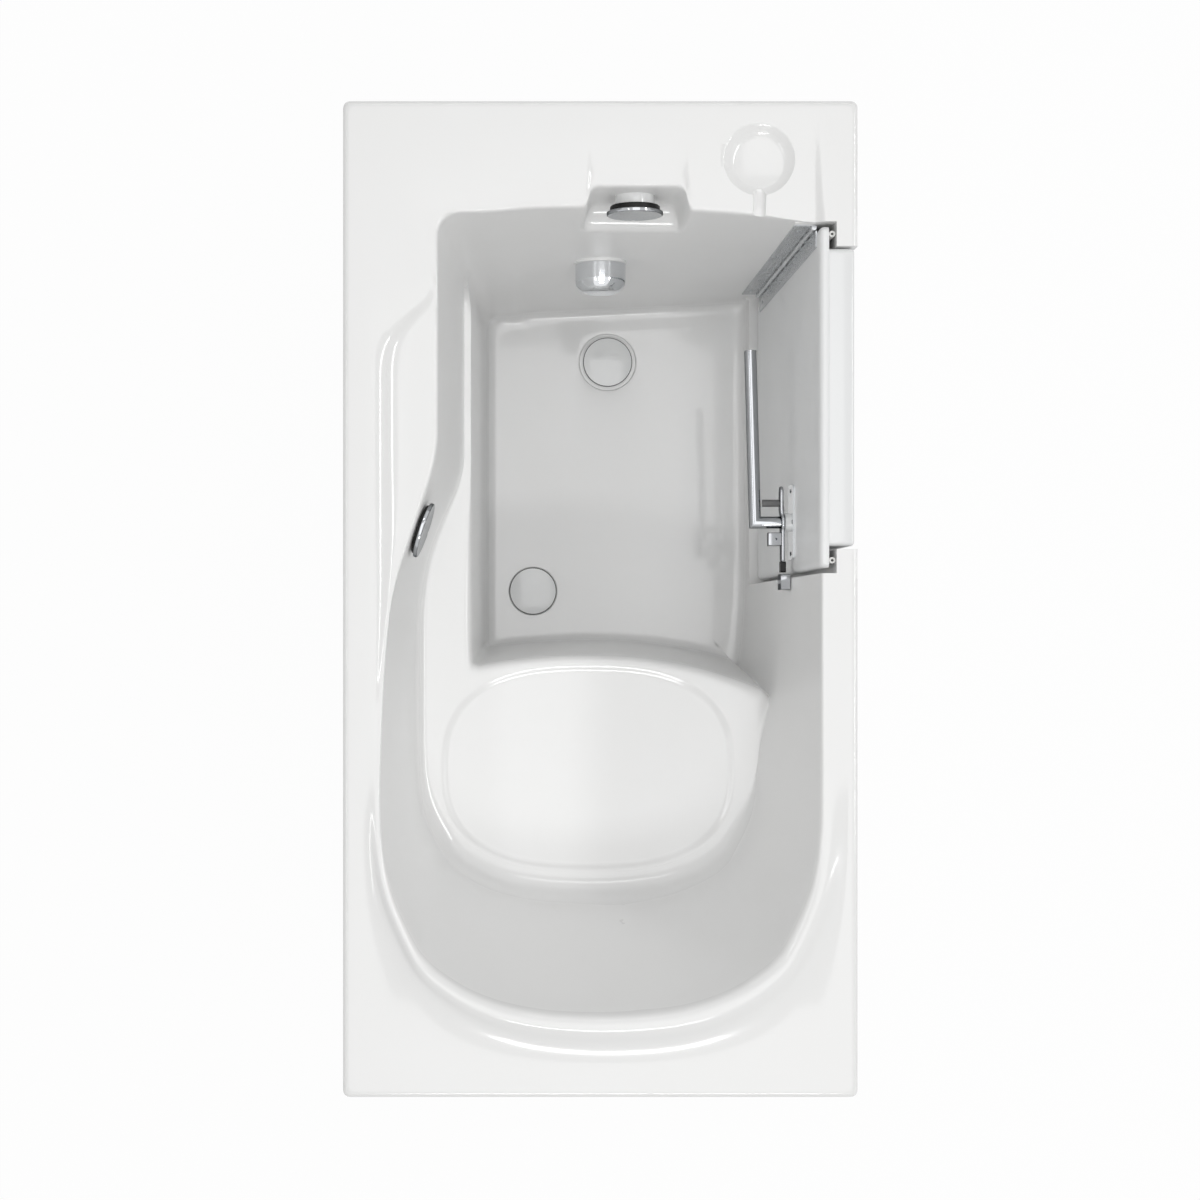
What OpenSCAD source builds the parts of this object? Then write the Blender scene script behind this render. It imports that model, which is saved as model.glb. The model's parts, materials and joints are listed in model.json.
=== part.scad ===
// Walk-in bathtub: a moulded shell with a built-in seat, an inward-opening side door with a
// continuous hinge and a lever latch, two drains worked by rotary knobs, and a steel frame.
// Millimetres, +Z up, +X towards the door side, +Y towards the foot end. The origin is the
// centre of the base. The basin is one net of control points, carried by a quadratic B-spline.

/* [Rim and deck] */
// Outside length of the rim, back end to foot end
rim_l = 1524; // [1424:1:1624]
// Outside width of the rim
rim_w = 787.4; // [767.4:0.1:847.4]
// Height of the deck above the ground
rim_h = 965; // [925:1:1025]
// Outer corner control length of the rim
rim_corner = 24; // [16:1:32]
// Depth of the turned-down lip round the rim
lip_drop = 40; // [30:1:60]
// Thickness of the moulded shell
wall_t = 8; // [6:0.5:10]
// Fall of the foot deck towards the bath
deck_fall = 8; // [4:1:12]
// Height of the headrest roll above the deck
roll_h = 18; // [8:1:26]

/* [Bath well] */
// Width of the deck beside the bath
side_deck = 56.7; // [48.7:1:66.7]
// Width of the armrest beside the foot well
armrest_w = 89; // [79:1:99]
// Foot wall at the rim, left corner
foot_y_left = 592; // [582:1:600]
// Foot wall at the rim, door corner
foot_y_right = 577; // [570:1:580]
// Backmost point of the well at the rim
back_y = -637; // [-647:1:-617]
// Start of the curved back end
back_start_y = -300; // [-320:1:-280]
// Squareness of the curved back end
back_power = 2.6; // [2.2:0.1:3]
// Depth of the armrest ledge below the deck
ledge_drop = 20; // [12:1:28]

/* [Seat and foot well] */
// Height of the seat above the ground
seat_z = 570; // [540:1:600]
// Height of the foot well floor above the ground
floor_z = 140; // [130:1:160]
// How far the side walls come in down to the seat, at its back
seat_in = 47; // [37:1:57]
// Backmost point of the seat
seat_back_y = -494; // [-510:1:-480]
// Front edge of the seat at its middle
seat_front_y = -88; // [-100:1:-80]
// Length of the dished seat pan, across
pan_w = 489; // [440:1:500]
// Width of the dished seat pan, front to back
pan_l = 339; // [320:1:345]
// Depth of the dished seat pan
pan_drop = 4; // [2:0.5:5]
// How far the foot well's left wall comes in down to the seat's height
footwell_in = 50; // [44:1:58]
// How far the foot well's left wall comes in down to the floor
floor_in = 77; // [72:1:83]
// How far the right wall comes in down to the floor
floor_right_in = 18; // [15:1:25]
// Height of the cove between walls and floor
cove = 60; // [45:1:70]
// Reach of the cove over the floor, short of the drain recesses
cove_run = 40; // [34:1:42]

/* [Knob niche and soap dish] */
// Centre of the knob niche and of the foot drain, across
niche_x = 58; // [48:1:68]
// Width of the knob niche
niche_w = 148; // [140:1:160]
// Back wall of the knob niche
niche_y = 631; // [625:1:640]
// Depth of the niche floor below the deck, at its front
niche_drop = 162; // [150:1:175]
// Soap dish centre, in from the rim's side
dish_in = 150.1; // [144:0.1:160]
// Soap dish centre, along
dish_y = 668.6; // [660:0.1:670]
// Soap dish mouth radius
dish_r = 55; // [48:1:55]
// Soap dish flat radius
dish_flat_r = 37; // [30:1:42]
// Soap dish depth
dish_drop = 10; // [6:1:12]

/* [Door] */
// Inner face of the door, in from the rim's side
door_in = 58.7; // [57.7:0.5:60.7]
// Latch edge of the door's sealing flange
door_y0 = 48; // [44:0.5:60]
// Hinge edge of the door's sealing flange
door_y1 = 570.5; // [568:0.5:571]
// Bottom of the sealing flange
door_z0 = 200; // [198:1:240]
// Gap from the door's top to the deck
door_top_gap = 4; // [2:0.5:8]
// Thickness of the sealing flange
flange_t = 15; // [12:0.5:18]
// How far the outer panel is set in from the flange
flange_lap = 33.5; // [30:0.5:36]
// Diameter of the bulb seal
seal_d = 10; // [8:0.5:12]
// Gap between the door's edges and the tub
door_gap = 2.5; // [2:0.25:4]
// Threshold top above the door flange's bottom
threshold_up = 28; // [24:1:34]
// Skin thickness of the outer panel
skin_t = 4; // [3:0.5:6]

/* [Hinge] */
// Knuckle radius of the continuous hinge
knuckle_r = 4; // [3.5:0.1:4.2]
// Hinge pin radius
pin_r = 2.5; // [2:0.1:2.8]
// Length of one knuckle with its gap
knuckle_l = 30; // [25:1:40]
// Number of knuckles
knuckles = 23; // [19:2:23]
// Width of a hinge leaf
leaf_w = 30; // [24:1:34]
// Thickness of a hinge leaf
leaf_t = 2; // [1.5:0.1:2]

/* [Latch] */
// Latch pivot, along the tub
latch_y = 132; // [126:1:140]
// Latch pivot, depth below the deck
latch_drop = 300; // [280:5:320]
// Radius of the lever tube
lever_r = 10; // [8:0.5:11]
// Length of the lever arm
lever_l = 284; // [240:1:290]
// Distance from the door to the lever arm's middle
lever_out = 62; // [52:1:70]
// Lean of the lever arm away from the door, degrees
lever_lean = 1.6; // [0:0.1:3]
// Length of the rocker towards the keeper
rocker_fore = 65; // [55:1:66]
// Length of the rocker towards the hinge
rocker_aft = 60; // [50:1:70]

/* [Drains and knobs] */
// Foot drain centre, along
foot_drain_y = 462.7; // [450:0.1:470]
// Radius of the foot drain's stopper cap
foot_cap_r = 46.5; // [44:0.5:50]
// Side drain centre, in from the floor's left side
side_drain_in = 87.4; // [83:0.1:93]
// Side drain centre, along
side_drain_y = 28.4; // [20:0.1:36]
// Radius of the side drain's stopper cap
side_cap_r = 44.5; // [43:0.5:48]
// Radius of a control knob
knob_r = 44; // [40:0.5:46]
// Depth of the foot knob below the deck
foot_knob_drop = 80; // [76:1:90]
// Depth of the side knob below the deck
side_knob_drop = 75; // [70:1:90]
// Waste pipe outside radius
pipe_r = 19.05; // [17:0.05:19.5]
// Waste pipe wall
pipe_t = 2.5; // [2:0.1:3.5]
// Height of the waste pipes' centre lines above the ground
pipe_z = 74; // [73:0.5:75]

/* [Water inlet] */
// Inlet centre, across
inlet_x = 21.5; // [16:0.5:24]
// Inlet depth below the deck
inlet_drop = 400; // [380:5:420]
// Radius of the inlet hood
hood_r = 43; // [38:0.5:46]
// How far the hood stands off the wall
hood_out = 54; // [44:1:60]
// Supply tail radius
tail_r = 10.65; // [9:0.05:11]

/* [Frame] */
// Side of the square frame tube
tube_w = 25; // [22:1:28]
// Wall of the frame tube
tube_t = 2; // [1.5:0.1:3]
// Height of the levelling feet
foot_h = 28; // [26:1:30]
// Gap between the rim's outside and the frame
frame_inset = 9.7; // [9.2:0.1:11]
// Apron panel thickness
apron_t = 4; // [3:0.5:4]
// Thickness of the board under the foot well
board_t = 12; // [9:1:14]

/* [Hidden] */
$fn = 48;

// B-spline samples per span, round the well and down its wall
around_steps = 2;
down_steps = 1;
run_gap = 0.05;
soft_gap = 0.3;
hx = rim_w / 2;
hy = rim_l / 2;
well_hw = hx - side_deck;
left_x = armrest_w - well_hw;
ledge_x = -well_hw;
seat_hw = well_hw - seat_in;
footwell_left_x = left_x + footwell_in;
floor_left_x = left_x + floor_in;
floor_right_x = well_hw - floor_right_in;
side_drain_x = floor_left_x + side_drain_in;
dish_x = hx - dish_in;
door_x = hx - door_in;
gloss = "white";
steel = "silver";
chrome = "gainsboro";
dark = "dimgray";

// ---- Basin net -------------------------------------------------------------------------
// Stations run anticlockwise: up the right side, across the foot wall, down the left side and
// round the back end. Each outline below gives one [x, y] for every station.
right_ys = [-150, 0, 150, 300, 440];
left_ys = [483, 457, 429, 388, 300, 220, 117, 14, -80, -190];
arc_angles = [0, 8, 20, 38, 43, 48, 60, 75, 90, 105, 120, 132, 137, 142, 160, 172, 180];
niche_half = niche_w / 2;
niche_xs = [niche_half + 16, niche_half + 4, niche_half - 3, niche_half - 32,
    32 - niche_half, 3 - niche_half, -4 - niche_half, -16 - niche_half];
niche_in = [0, 0, 1, 1, 1, 1, 0, 0];
far_x = 230;
near_x = -110;
corner_l = 80;
// Stations that stand on the foot wall and on the back end
n_right = len(right_ys) + 3;
n_foot = n_right + 1 + len(niche_xs) + 1;
n_left = n_foot + 3 + len(left_ys);
n_st = n_left + len(arc_angles);

function lerp(a, b, t) = a + (b - a) * t;
// The pair v moved along by c
function span(c, v) = [c + v[0], c + v[1]];
function power(v, p) = v < 0.0001 ? 0 : pow(v, p);
// Point of a superellipse end, from its left tangent at 0 to its right tangent at 180
function arc_pt(cx, hw, y0, depth, p, a) =
    [cx - hw * sign(cos(a)) * power(abs(cos(a)), 2 / p), y0 - depth * power(sin(a), 2 / p)];
// Foot wall's y at any x, a straight line from the left corner to the door corner, with a bow
function foot_line(x, yl, yr, bow) =
    let (t = (x - left_x) / (well_hw - left_x)) lerp(yl, yr, t) + bow * 4 * t * (1 - t);
function diag(y, x_front, y_front, x_back, y_back) =
    y >= y_front ? x_front : y <= y_back ? x_back :
    lerp(x_front, x_back, (y_front - y) / (y_front - y_back));

// Rim rectangle, inset by d
function rim_outline(d) = let (x = hx - d, y = hy - d, c = rim_corner) concat(
    [for (v = right_ys) [x, v]], [[x, y - c], [x, y], [x - c, y]],
    [[far_x, y]], [for (v = niche_xs) [niche_x + v, y]], [[near_x, y]],
    [[c - x, y], [-x, y], [-x, y - c]], [for (v = left_ys) [-x, v + (v - 14) * 0.35]],
    [[-x, -300], [-x, -400], [-x, -520], [-x, c - y], [-x, -y], [c - x, -y],
     [-250, -y], [-125, -y], [0, -y], [125, -y], [250, -y],
     [x - c, -y], [x, -y], [x, c - y], [x, -520], [x, -400], [x, -300]]);

// Outline of the well, from its left line, foot wall, niche depth and curved back end
function well_outline(xr, yl, yr, bow, niche_depth, left_line, c) = concat(
    [for (v = right_ys) [xr, v]], [[xr, yr - rim_corner], [xr, yr], [xr - rim_corner, yr]],
    [[far_x, foot_line(far_x, yl, yr, bow)]],
    [for (i = [0:len(niche_xs) - 1]) let (x = niche_x + niche_xs[i])
        [x, niche_in[i] == 1 && niche_depth > 0 ? niche_depth : foot_line(x, yl, yr, bow)]],
    [[near_x, foot_line(near_x, yl, yr, bow)]],
    [[left_x + c, yl], [left_x, yl], [left_x, yl - c]],
    [for (v = left_ys) [left_line[search(v, left_ys)[0]], v]]);

// Left line of the well edge, of the ledge's slope top and of its foot, at each left station
edge_left = [for (v = left_ys) v > 14 ? diag(v, left_x, 220, left_x - 70, 14) :
    v > -80 ? left_x - 70 : v > -190 ? left_x - 80 : -well_hw + 3];
slope_top = [left_x - 12, left_x - 30, left_x - 62, ledge_x, ledge_x, ledge_x, ledge_x,
    ledge_x, ledge_x - 4, ledge_x - 12];
slope_foot = [left_x - 6, left_x - 8, left_x - 38, ledge_x + 19, ledge_x + 19, ledge_x + 19,
    ledge_x + 19, ledge_x + 13, ledge_x + 3, ledge_x - 4];
ledge_amount = [0, 0.4, 0.85, 1, 1, 1, 1, 0.7, 0.3, 0];

function back_end(cx, hw, depth) =
    [for (a = arc_angles) arc_pt(cx, hw, back_start_y, depth, back_power, a)];
edge_back = back_end(0, well_hw, back_start_y - back_y);
roll_out_back = back_end(12, well_hw + 31, back_start_y - back_y + 52);
foot_bow = 14;

well_edge = concat(well_outline(well_hw, foot_y_left, foot_y_right, foot_bow, niche_y,
    edge_left, corner_l), edge_back);
// The same edge where the niche isn't cut, from which the wall runs down
wall_top = concat(well_outline(well_hw, foot_y_left, foot_y_right, foot_bow, 0, edge_left,
    corner_l), edge_back);
// Deck lines between the rim and the edge: the roll's outside or the ledge's slope, then a
// line half way in
deck_outer = concat(
    [for (i = [0:n_foot - 1]) lerp(rim_outline(0)[i], well_edge[i], 0.4)],
    [for (i = [n_foot:n_foot + 2]) lerp(rim_outline(0)[i], well_edge[i], 0.6)],
    [for (i = [0:len(left_ys) - 1]) [slope_top[i], left_ys[i]]], roll_out_back);
deck_inner = concat(
    [for (i = [0:n_foot - 1]) lerp(rim_outline(0)[i], well_edge[i], 0.7)],
    [for (i = [n_foot:n_foot + 2]) lerp(rim_outline(0)[i], well_edge[i], 0.8)],
    [for (i = [0:len(left_ys) - 1]) [slope_foot[i], left_ys[i]]],
    [for (i = [0:len(arc_angles) - 1]) lerp(roll_out_back[i], edge_back[i], 0.5)]);

// How far each station's edge lies below the deck, and how far the roll rises there
edge_drop = concat([for (v = right_ys) 0], [0, 0, 0.2 * deck_fall],
    [for (i = [n_right:n_foot - 1]) deck_fall], [deck_fall, 0.6 * deck_fall, 0],
    ledge_drop * ledge_amount, [for (a = arc_angles) 0]);
roll_up = concat([for (i = [0:n_left - 1]) 0],
    [for (a = arc_angles) roll_h * min(1, 2 * sin(a))]);

// Seat-level lines: the foot of the upper wall, and the edge of the foot well
seat_left = [for (v = left_ys) diag(v, footwell_left_x - 15, 220, -seat_hw, 74)];
seat_line = concat([[well_hw - 21, seat_front_y - 74]], [for (i = [1:4]) [well_hw - 9, right_ys[i]]],
    [[well_hw - 9, foot_y_right - rim_corner], [well_hw - 9, foot_y_right],
     [well_hw - 9 - rim_corner, foot_y_right]],
    [[far_x, foot_y_right - 2]],
    [for (v = niche_xs) [niche_x + v, foot_line(niche_x + v, foot_y_left - 19, foot_y_right, 4)]],
    [[near_x, foot_y_left - 20]],
    [[footwell_left_x + 45, foot_y_left - 21], [footwell_left_x - 15, foot_y_left - 21],
     [footwell_left_x - 15, foot_y_left - 81]],
    [for (i = [0:len(left_ys) - 1]) [seat_left[i], left_ys[i] - 4]],
    [for (a = arc_angles) arc_pt(0, seat_hw, back_start_y + 40, back_start_y + 40 - seat_back_y,
        back_power, a)]);
// Stations of the foot well's outlines, as shares of its left side and of its rear wall
left_shares = [0.066, 0.115, 0.172, 0.246, 0.377, 0.508, 0.639, 0.77, 0.869, 0.944];
rear_shares = [0.015, 0.042, 0.082, 0.11, 0.139, 0.205, 0.3, 0.414, 0.519, 0.633, 0.719, 0.766,
    0.81, 0.88, 0.92, 0.95];
corner_run = 60;
function rear_y(t, mid, left, right) = t < 0.414 ?
    lerp(mid, left, pow((0.414 - t) / 0.414, 2)) : lerp(mid, right, pow((t - 0.414) / 0.53, 2));
// Outline of the foot well: its left and right x, foot wall's y at each corner, and rear
// wall's y at the middle, the left and the right
function lower_outline(xl, xr, yl, yr, mid, left, right) = concat(
    [[xr - 12, right - 18]], [for (i = [1:4]) [xr, right_ys[i]]],
    [[xr, yr - rim_corner], [xr, yr], [xr - rim_corner, yr]],
    [for (v = concat([far_x], [for (v = niche_xs) niche_x + v], [near_x]))
        let (x = max(v, xl + corner_run + 8)) [x, foot_line(x, yl, yr, 0)]],
    [[xl + corner_run, yl], [xl, yl], [xl, yl - corner_run]],
    [for (t = left_shares) [xl, lerp(yl - corner_run, left - 12, t)]], [[xl, left + 8]],
    [for (t = rear_shares) [lerp(xl, xr, t), rear_y(t, mid, left, right)]]);
foot_well_edge = lower_outline(footwell_left_x, well_hw - 9, foot_y_left - 22, foot_y_right,
    seat_front_y, seat_front_y - 20, seat_front_y - 60);
floor_foot_y = foot_y_left - 45;
function floor_outline(d) = lower_outline(floor_left_x + d, floor_right_x - d, floor_foot_y - d,
    foot_y_right - d, seat_front_y + 24 + d, seat_front_y + 10 + d, seat_front_y - 14 + d);
floor_corner = floor_outline(0);
// Is there a seat or a ledge inside the upper wall at this station?
function has_ledge(i) = norm(seat_line[i] - foot_well_edge[i]) > 9 && i >= n_foot + 2;

function outward(ring, i) = let (n = len(ring), d = ring[(i + 1) % n] - ring[(i + n - 1) % n])
    [d[1], -d[0]] / norm(d);
function grown(ring, g) = [for (i = [0:len(ring) - 1]) ring[i] + g * outward(ring, i)];
function at_z(ring, z) = [for (i = [0:len(ring) - 1]) [ring[i][0], ring[i][1], is_list(z) ? z[i] : z]];

edge_z = [for (i = [0:n_st - 1]) rim_h - edge_drop[i] + 0.5 * roll_up[i]];
crest_z = [for (i = [0:n_st - 1]) rim_h - (i < n_foot + 3 ? 0.4 : 1) * edge_drop[i] + roll_up[i]];
near_edge = [for (i = [0:n_st - 1]) lerp(well_edge[i], deck_inner[i],
    min(0.5, 16 / norm(well_edge[i] - deck_inner[i])))];
near_edge_z = [for (i = [0:n_st - 1]) i < n_left ? rim_h - edge_drop[i] : rim_h + 0.95 * roll_up[i]];

// Right wall and foot wall run straight from the rim to the floor
function is_straight(i) = i > 0 && i < n_foot + 2;
// Wall points at a height z: down to the floor where straight, elsewhere down to the seat line
function on_wall(i, z) = is_straight(i) ?
    lerp(wall_top[i], floor_corner[i], (edge_z[i] - z) / (edge_z[i] - floor_z)) :
    lerp(wall_top[i], seat_line[i], (edge_z[i] - z) / (edge_z[i] - seat_z));
function in_niche(i) = let (k = i - n_right - 1) k >= 0 && k < len(niche_xs) ? niche_in[k] : 0;
function niche_back(i, z) = in_niche(i) == 1 ? [well_edge[i][0], niche_y] : on_wall(i, z);
niche_z = rim_h - niche_drop;
upper_rings = [
    at_z(rim_outline(0), rim_h - lip_drop), at_z(rim_outline(0), rim_h - 16),
    at_z(rim_outline(0), rim_h), at_z(rim_outline(16), rim_h),
    at_z(deck_outer, rim_h), at_z(deck_inner, crest_z), at_z(near_edge, near_edge_z),
    at_z(well_edge, edge_z),
    [for (i = [0:n_st - 1]) let (z = edge_z[i] - 24) concat(niche_back(i, z), z)],
    [for (i = [0:n_st - 1]) concat(niche_back(i, niche_z + 36), niche_z + 36)],
    [for (i = [0:n_st - 1]) concat(niche_back(i, niche_z + 12), niche_z + 12)],
    [for (i = [0:n_st - 1]) concat(on_wall(i, niche_z), niche_z)],
    [for (i = [0:n_st - 1]) concat(on_wall(i, niche_z - 28), niche_z - 28)]];
// Heights of the rings that form the seat; straight stations carry them down their wall instead
seat_drops = [-90, 0, 0, 0, 0];
wall_drops = [-60, -30, -8, 12, 24];
function seat_level(i, k) = seat_z - (has_ledge(i) ? seat_drops[k] : wall_drops[k]);
function ledge_pt(i, t) = lerp(seat_line[i], foot_well_edge[i], t);
ledge_w = [for (i = [0:n_st - 1]) norm(foot_well_edge[i] - seat_line[i])];
function level_pt(i, k, ledge) = concat(is_straight(i) ? on_wall(i, seat_level(i, k)) : ledge,
    seat_level(i, k));
function lower_wall(i, z) = is_straight(i) ? on_wall(i, z) :
    lerp(foot_well_edge[i], floor_corner[i], (seat_z - z) / (seat_z - floor_z));
lower_rings = [
    [for (i = [0:n_st - 1]) level_pt(i, 0, on_wall(i, seat_level(i, 0)))],
    [for (i = [0:n_st - 1]) level_pt(i, 1, on_wall(i, seat_z))],
    [for (i = [0:n_st - 1]) level_pt(i, 2, ledge_pt(i, min(0.33, 90 / ledge_w[i])))],
    [for (i = [0:n_st - 1]) level_pt(i, 3, ledge_pt(i, 1 - min(0.33, 40 / ledge_w[i])))],
    [for (i = [0:n_st - 1]) level_pt(i, 4, foot_well_edge[i])],
    [for (i = [0:n_st - 1]) concat(lower_wall(i, seat_z - 40), seat_z - 40)],
    [for (i = [0:n_st - 1]) concat(lower_wall(i, floor_z + cove), floor_z + cove)],
    at_z(floor_corner, floor_z), at_z(floor_outline(cove_run), floor_z)];
inner_net = concat(upper_rings, lower_rings);
// The outside of the moulding keeps clear of the inside: ring, growth and drop
back_offsets = [[0, -wall_t, 0], [2, -wall_t, wall_t], [4, 3, wall_t + 1], [5, 6, wall_t + 1],
    [7, wall_t, wall_t + 2], [9, wall_t, 0], [10, wall_t, wall_t], [11, wall_t + 1, wall_t + 2],
    [13, wall_t, 0], [14, wall_t, wall_t], [17, wall_t + 2, wall_t + 2], [19, wall_t, 0],
    [20, wall_t, wall_t], [21, 0, wall_t]];
function flat_ring(r) = [for (p = r) [p[0], p[1]]];
outer_net = [for (o = back_offsets) let (r = inner_net[o[0]], g = grown(flat_ring(r), o[1]))
    [for (i = [0:n_st - 1]) [g[i][0], g[i][1], r[i][2] - o[2]]]];

// Quadratic B-spline weights for a span centred on its own control point
function spline_w(t) = [(1 - t) * (1 - t) / 2, 0.5 + t * (1 - t), t * t / 2];
function steps(n) = [for (m = [0:n - 1]) (m + 0.5) / n];
function around(ring) = let (n = len(ring)) [for (i = [0:n - 1]) for (t = steps(around_steps))
    let (w = spline_w(t)) w[0] * ring[(i + n - 1) % n] + w[1] * ring[i] + w[2] * ring[(i + 1) % n]];
function blend3(a, b, c, w) = [for (i = [0:len(a) - 1]) w[0] * a[i] + w[1] * b[i] + w[2] * c[i]];
function down(net) = let (n = len(net)) concat([net[0]],
    [for (j = [0:n - 1]) for (t = steps(down_steps))
        blend3(net[max(j - 1, 0)], net[j], net[min(j + 1, n - 1)], spline_w(t))], [net[n - 1]]);

module basin() {
    inside = down([for (r = inner_net) around(r)]);
    outside = [for (r = outer_net) around(r)];
    n = len(inside[0]);
    rings = concat([for (j = [len(outside) - 1:-1:0]) outside[j]], inside);
    last = len(rings) - 1;
    points = [for (r = rings) each r];
    sides = [for (j = [0:last - 1]) for (i = [0:n - 1]) let (a = j * n + i, b = j * n + (i + 1) % n)
        each [[a, a + n, b], [b, a + n, b + n]]];
    polyhedron(points, concat(sides, [[for (i = [0:n - 1]) i]],
        [[for (i = [n - 1:-1:0]) last * n + i]]), convexity = 12);
}

// ---- Door opening ------------------------------------------------------------------------
pocket_y0 = door_y0 - 8.5;
pocket_z = door_z0 - 4;
lip_x = door_x + flange_t + seal_d + 1;
open_y0 = door_y0 + flange_lap - 2 * door_gap;
open_y1 = door_y1 - flange_lap + door_gap;
threshold_z = door_z0 + threshold_up;
door_top = rim_h - door_top_gap;
jamb_y0 = pocket_y0 - wall_t;
jamb_y1 = foot_y_right + wall_t;
jamb_z = pocket_z - 2 * wall_t;
function right_wall_x(z) = well_hw - (well_hw - floor_right_x) * (rim_h - z) / (rim_h - floor_z);

// Solid moulded surround of the door, behind the right wall
module jamb_block() {
    translate([0, jamb_y1, 0]) rotate([90, 0, 0]) linear_extrude(jamb_y1 - jamb_y0) polygon([
        [right_wall_x(rim_h) + 3, rim_h - 2], [hx - 0.5, rim_h - 2], [hx - 0.5, jamb_z],
        [right_wall_x(jamb_z) + 3, jamb_z]]);
    box([axis_x - leaf_w - 1, hx - 0.5], [foot_y_right, jamb_y1], [jamb_z, rim_h - 2 * wall_t]);
}

module box(x, y, z) {
    translate([x[0], y[0], z[0]]) cube([x[1] - x[0], y[1] - y[0], z[1] - z[0]]);
}

module door_opening() {
    box([axis_x - leaf_w - 1, lip_x], [pocket_y0, foot_y_right], [pocket_z, rim_h + 50]);
    box([lip_x - 1, hx + 10], [open_y0, open_y1], [threshold_z, rim_h + 50]);
}

// ---- Wall fittings' places ---------------------------------------------------------------
foot_knob_z = rim_h - foot_knob_drop;
side_knob_z = rim_h - side_knob_drop;
side_dir = [0.9467, -0.3217];
side_turn = atan2(side_dir[1], side_dir[0]);
side_slope = (footwell_left_x - left_x) / (rim_h - seat_z);
side_tilt = 31.6 * side_slope;
side_wall_y = 112;
side_wall_x = diag(side_wall_y, left_x, 220, left_x - 70, 14) + 0.2633 * side_slope * side_knob_drop;
inlet_z = rim_h - inlet_drop;
inlet_wall_y = lerp(foot_line(inlet_x, foot_y_left, foot_y_right, foot_bow),
    foot_line(inlet_x, floor_foot_y, foot_y_right, 0),
    (inlet_drop - deck_fall) / (rim_h - deck_fall - floor_z));
pad_r = 34;
side_pad = 1.5;
inlet_pad = 3.5;
port_r = 15.5;

// Carries +Z to a wall fitting's axis, which points into the bath
module on_side_wall() {
    translate([side_wall_x, side_wall_y, side_knob_z]) rotate([0, 0, side_turn])
        rotate([0, 90 - side_tilt, 0]) children();
}
module on_niche_wall() {
    translate([niche_x, niche_y, foot_knob_z]) rotate([90, 0, 0]) children();
}
module on_foot_wall() {
    translate([inlet_x, inlet_wall_y, inlet_z]) rotate([90, 0, 0]) children();
}

// ---- Tub shell ---------------------------------------------------------------------------
drain_hole_r = 26.5;
recess_t = 3;
foot_recess_r = foot_cap_r + 9.5;
side_recess_r = side_cap_r + 2.5;
pad_out = wall_t + 6;
dish_z = rim_h - 3;
dish_over = 6;
dish_slope = (dish_r - dish_flat_r) / dish_drop;
channel_w = 21;
channel_drop = 4;
pan_y = seat_front_y - 24 - pan_l / 2;
pan_power = 2.6;
pan_points = 32;

function squircle(w, l, p, n) = [for (i = [0:n - 1]) let (a = 360 * (i + 0.5) / n)
    [w / 2 * sign(cos(a)) * power(abs(cos(a)), 2 / p), l / 2 * sign(sin(a)) * power(abs(sin(a)), 2 / p)]];

module tub_shell() {
    color(gloss) difference() {
        union() {
            basin();
            jamb_block();
            translate([dish_x, dish_y, dish_z - dish_drop - wall_t])
                cylinder(h = dish_drop + 4, r = dish_r + 1.5);
            on_side_wall() translate([0, 0, -pad_out]) cylinder(h = pad_out + side_pad, r = pad_r);
            on_foot_wall() translate([0, 0, -pad_out]) cylinder(h = pad_out + inlet_pad, r = hood_r + 2);
        }
        door_opening();
        translate([0, pan_y, seat_z - pan_drop]) linear_extrude(pan_drop + 20)
            polygon(squircle(pan_w, pan_l, pan_power, pan_points));
        translate([dish_x, dish_y, dish_z - dish_drop])
            cylinder(h = dish_drop + dish_over, r1 = dish_flat_r, r2 = dish_r + dish_slope * dish_over);
        box([dish_x - channel_w / 2, dish_x + channel_w / 2], [foot_y_right - 20, dish_y],
            [dish_z - channel_drop - 5, rim_h + 10]);
        drain_cut(niche_x, foot_drain_y, foot_recess_r);
        drain_cut(side_drain_x, side_drain_y, side_recess_r);
        on_niche_wall() translate([0, 0, -30]) cylinder(h = 40, r = port_r);
        on_side_wall() translate([0, 0, -pad_out - 5]) cylinder(h = pad_out + 20, r = port_r);
        on_foot_wall() translate([0, 0, -pad_out - 5]) cylinder(h = pad_out + 20, r = port_r);
        tub_leaf_screw_places() cylinder(h = hinge_screw_l + 1, r = small_screw_r + run_gap);
        keeper_screw_places() cylinder(h = keeper_screw_l + 1, r = screw_r + run_gap);
    }
}

module drain_cut(x, y, r) {
    translate([x, y, floor_z - recess_t]) cylinder(h = 20, r = r);
    translate([x, y, floor_z - wall_t - 5]) cylinder(h = 20, r = drain_hole_r);
}

// ---- Apron and service panel -------------------------------------------------------------
frame_x = hx - frame_inset;
frame_y = hy - frame_inset;
apron_x = [frame_x, frame_x + apron_t];
apron_z0 = 15;
apron_top = rim_h - lip_drop - 3;
service_y = [-420, -160];
service_z = [120, 360];
panel_gap = 1;
screw_inset = 15;

module apron_panel() {
    color(gloss) difference() {
        box(apron_x, [-frame_y, frame_y], [apron_z0, apron_top]);
        box([apron_x[0] - 5, apron_x[1] + 5], [jamb_y0 - 0.5, jamb_y1 + 0.5], [jamb_z - 0.5, rim_h]);
        box([apron_x[0] - 5, apron_x[1] + 5], service_y, service_z);
    }
    color(gloss) service_flange();
}

// Rebate behind the service panel's edge that its screws bite into
module service_flange() {
    difference() {
        box([frame_x - 3, frame_x], service_y + [-10, 10], service_z + [-10, 10]);
        box([frame_x - 5, frame_x + 5], service_y + [25, -25], service_z + [25, -25]);
        service_screw_places() translate([0, 0, -20]) cylinder(h = 40, r = screw_r + run_gap);
    }
}

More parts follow.
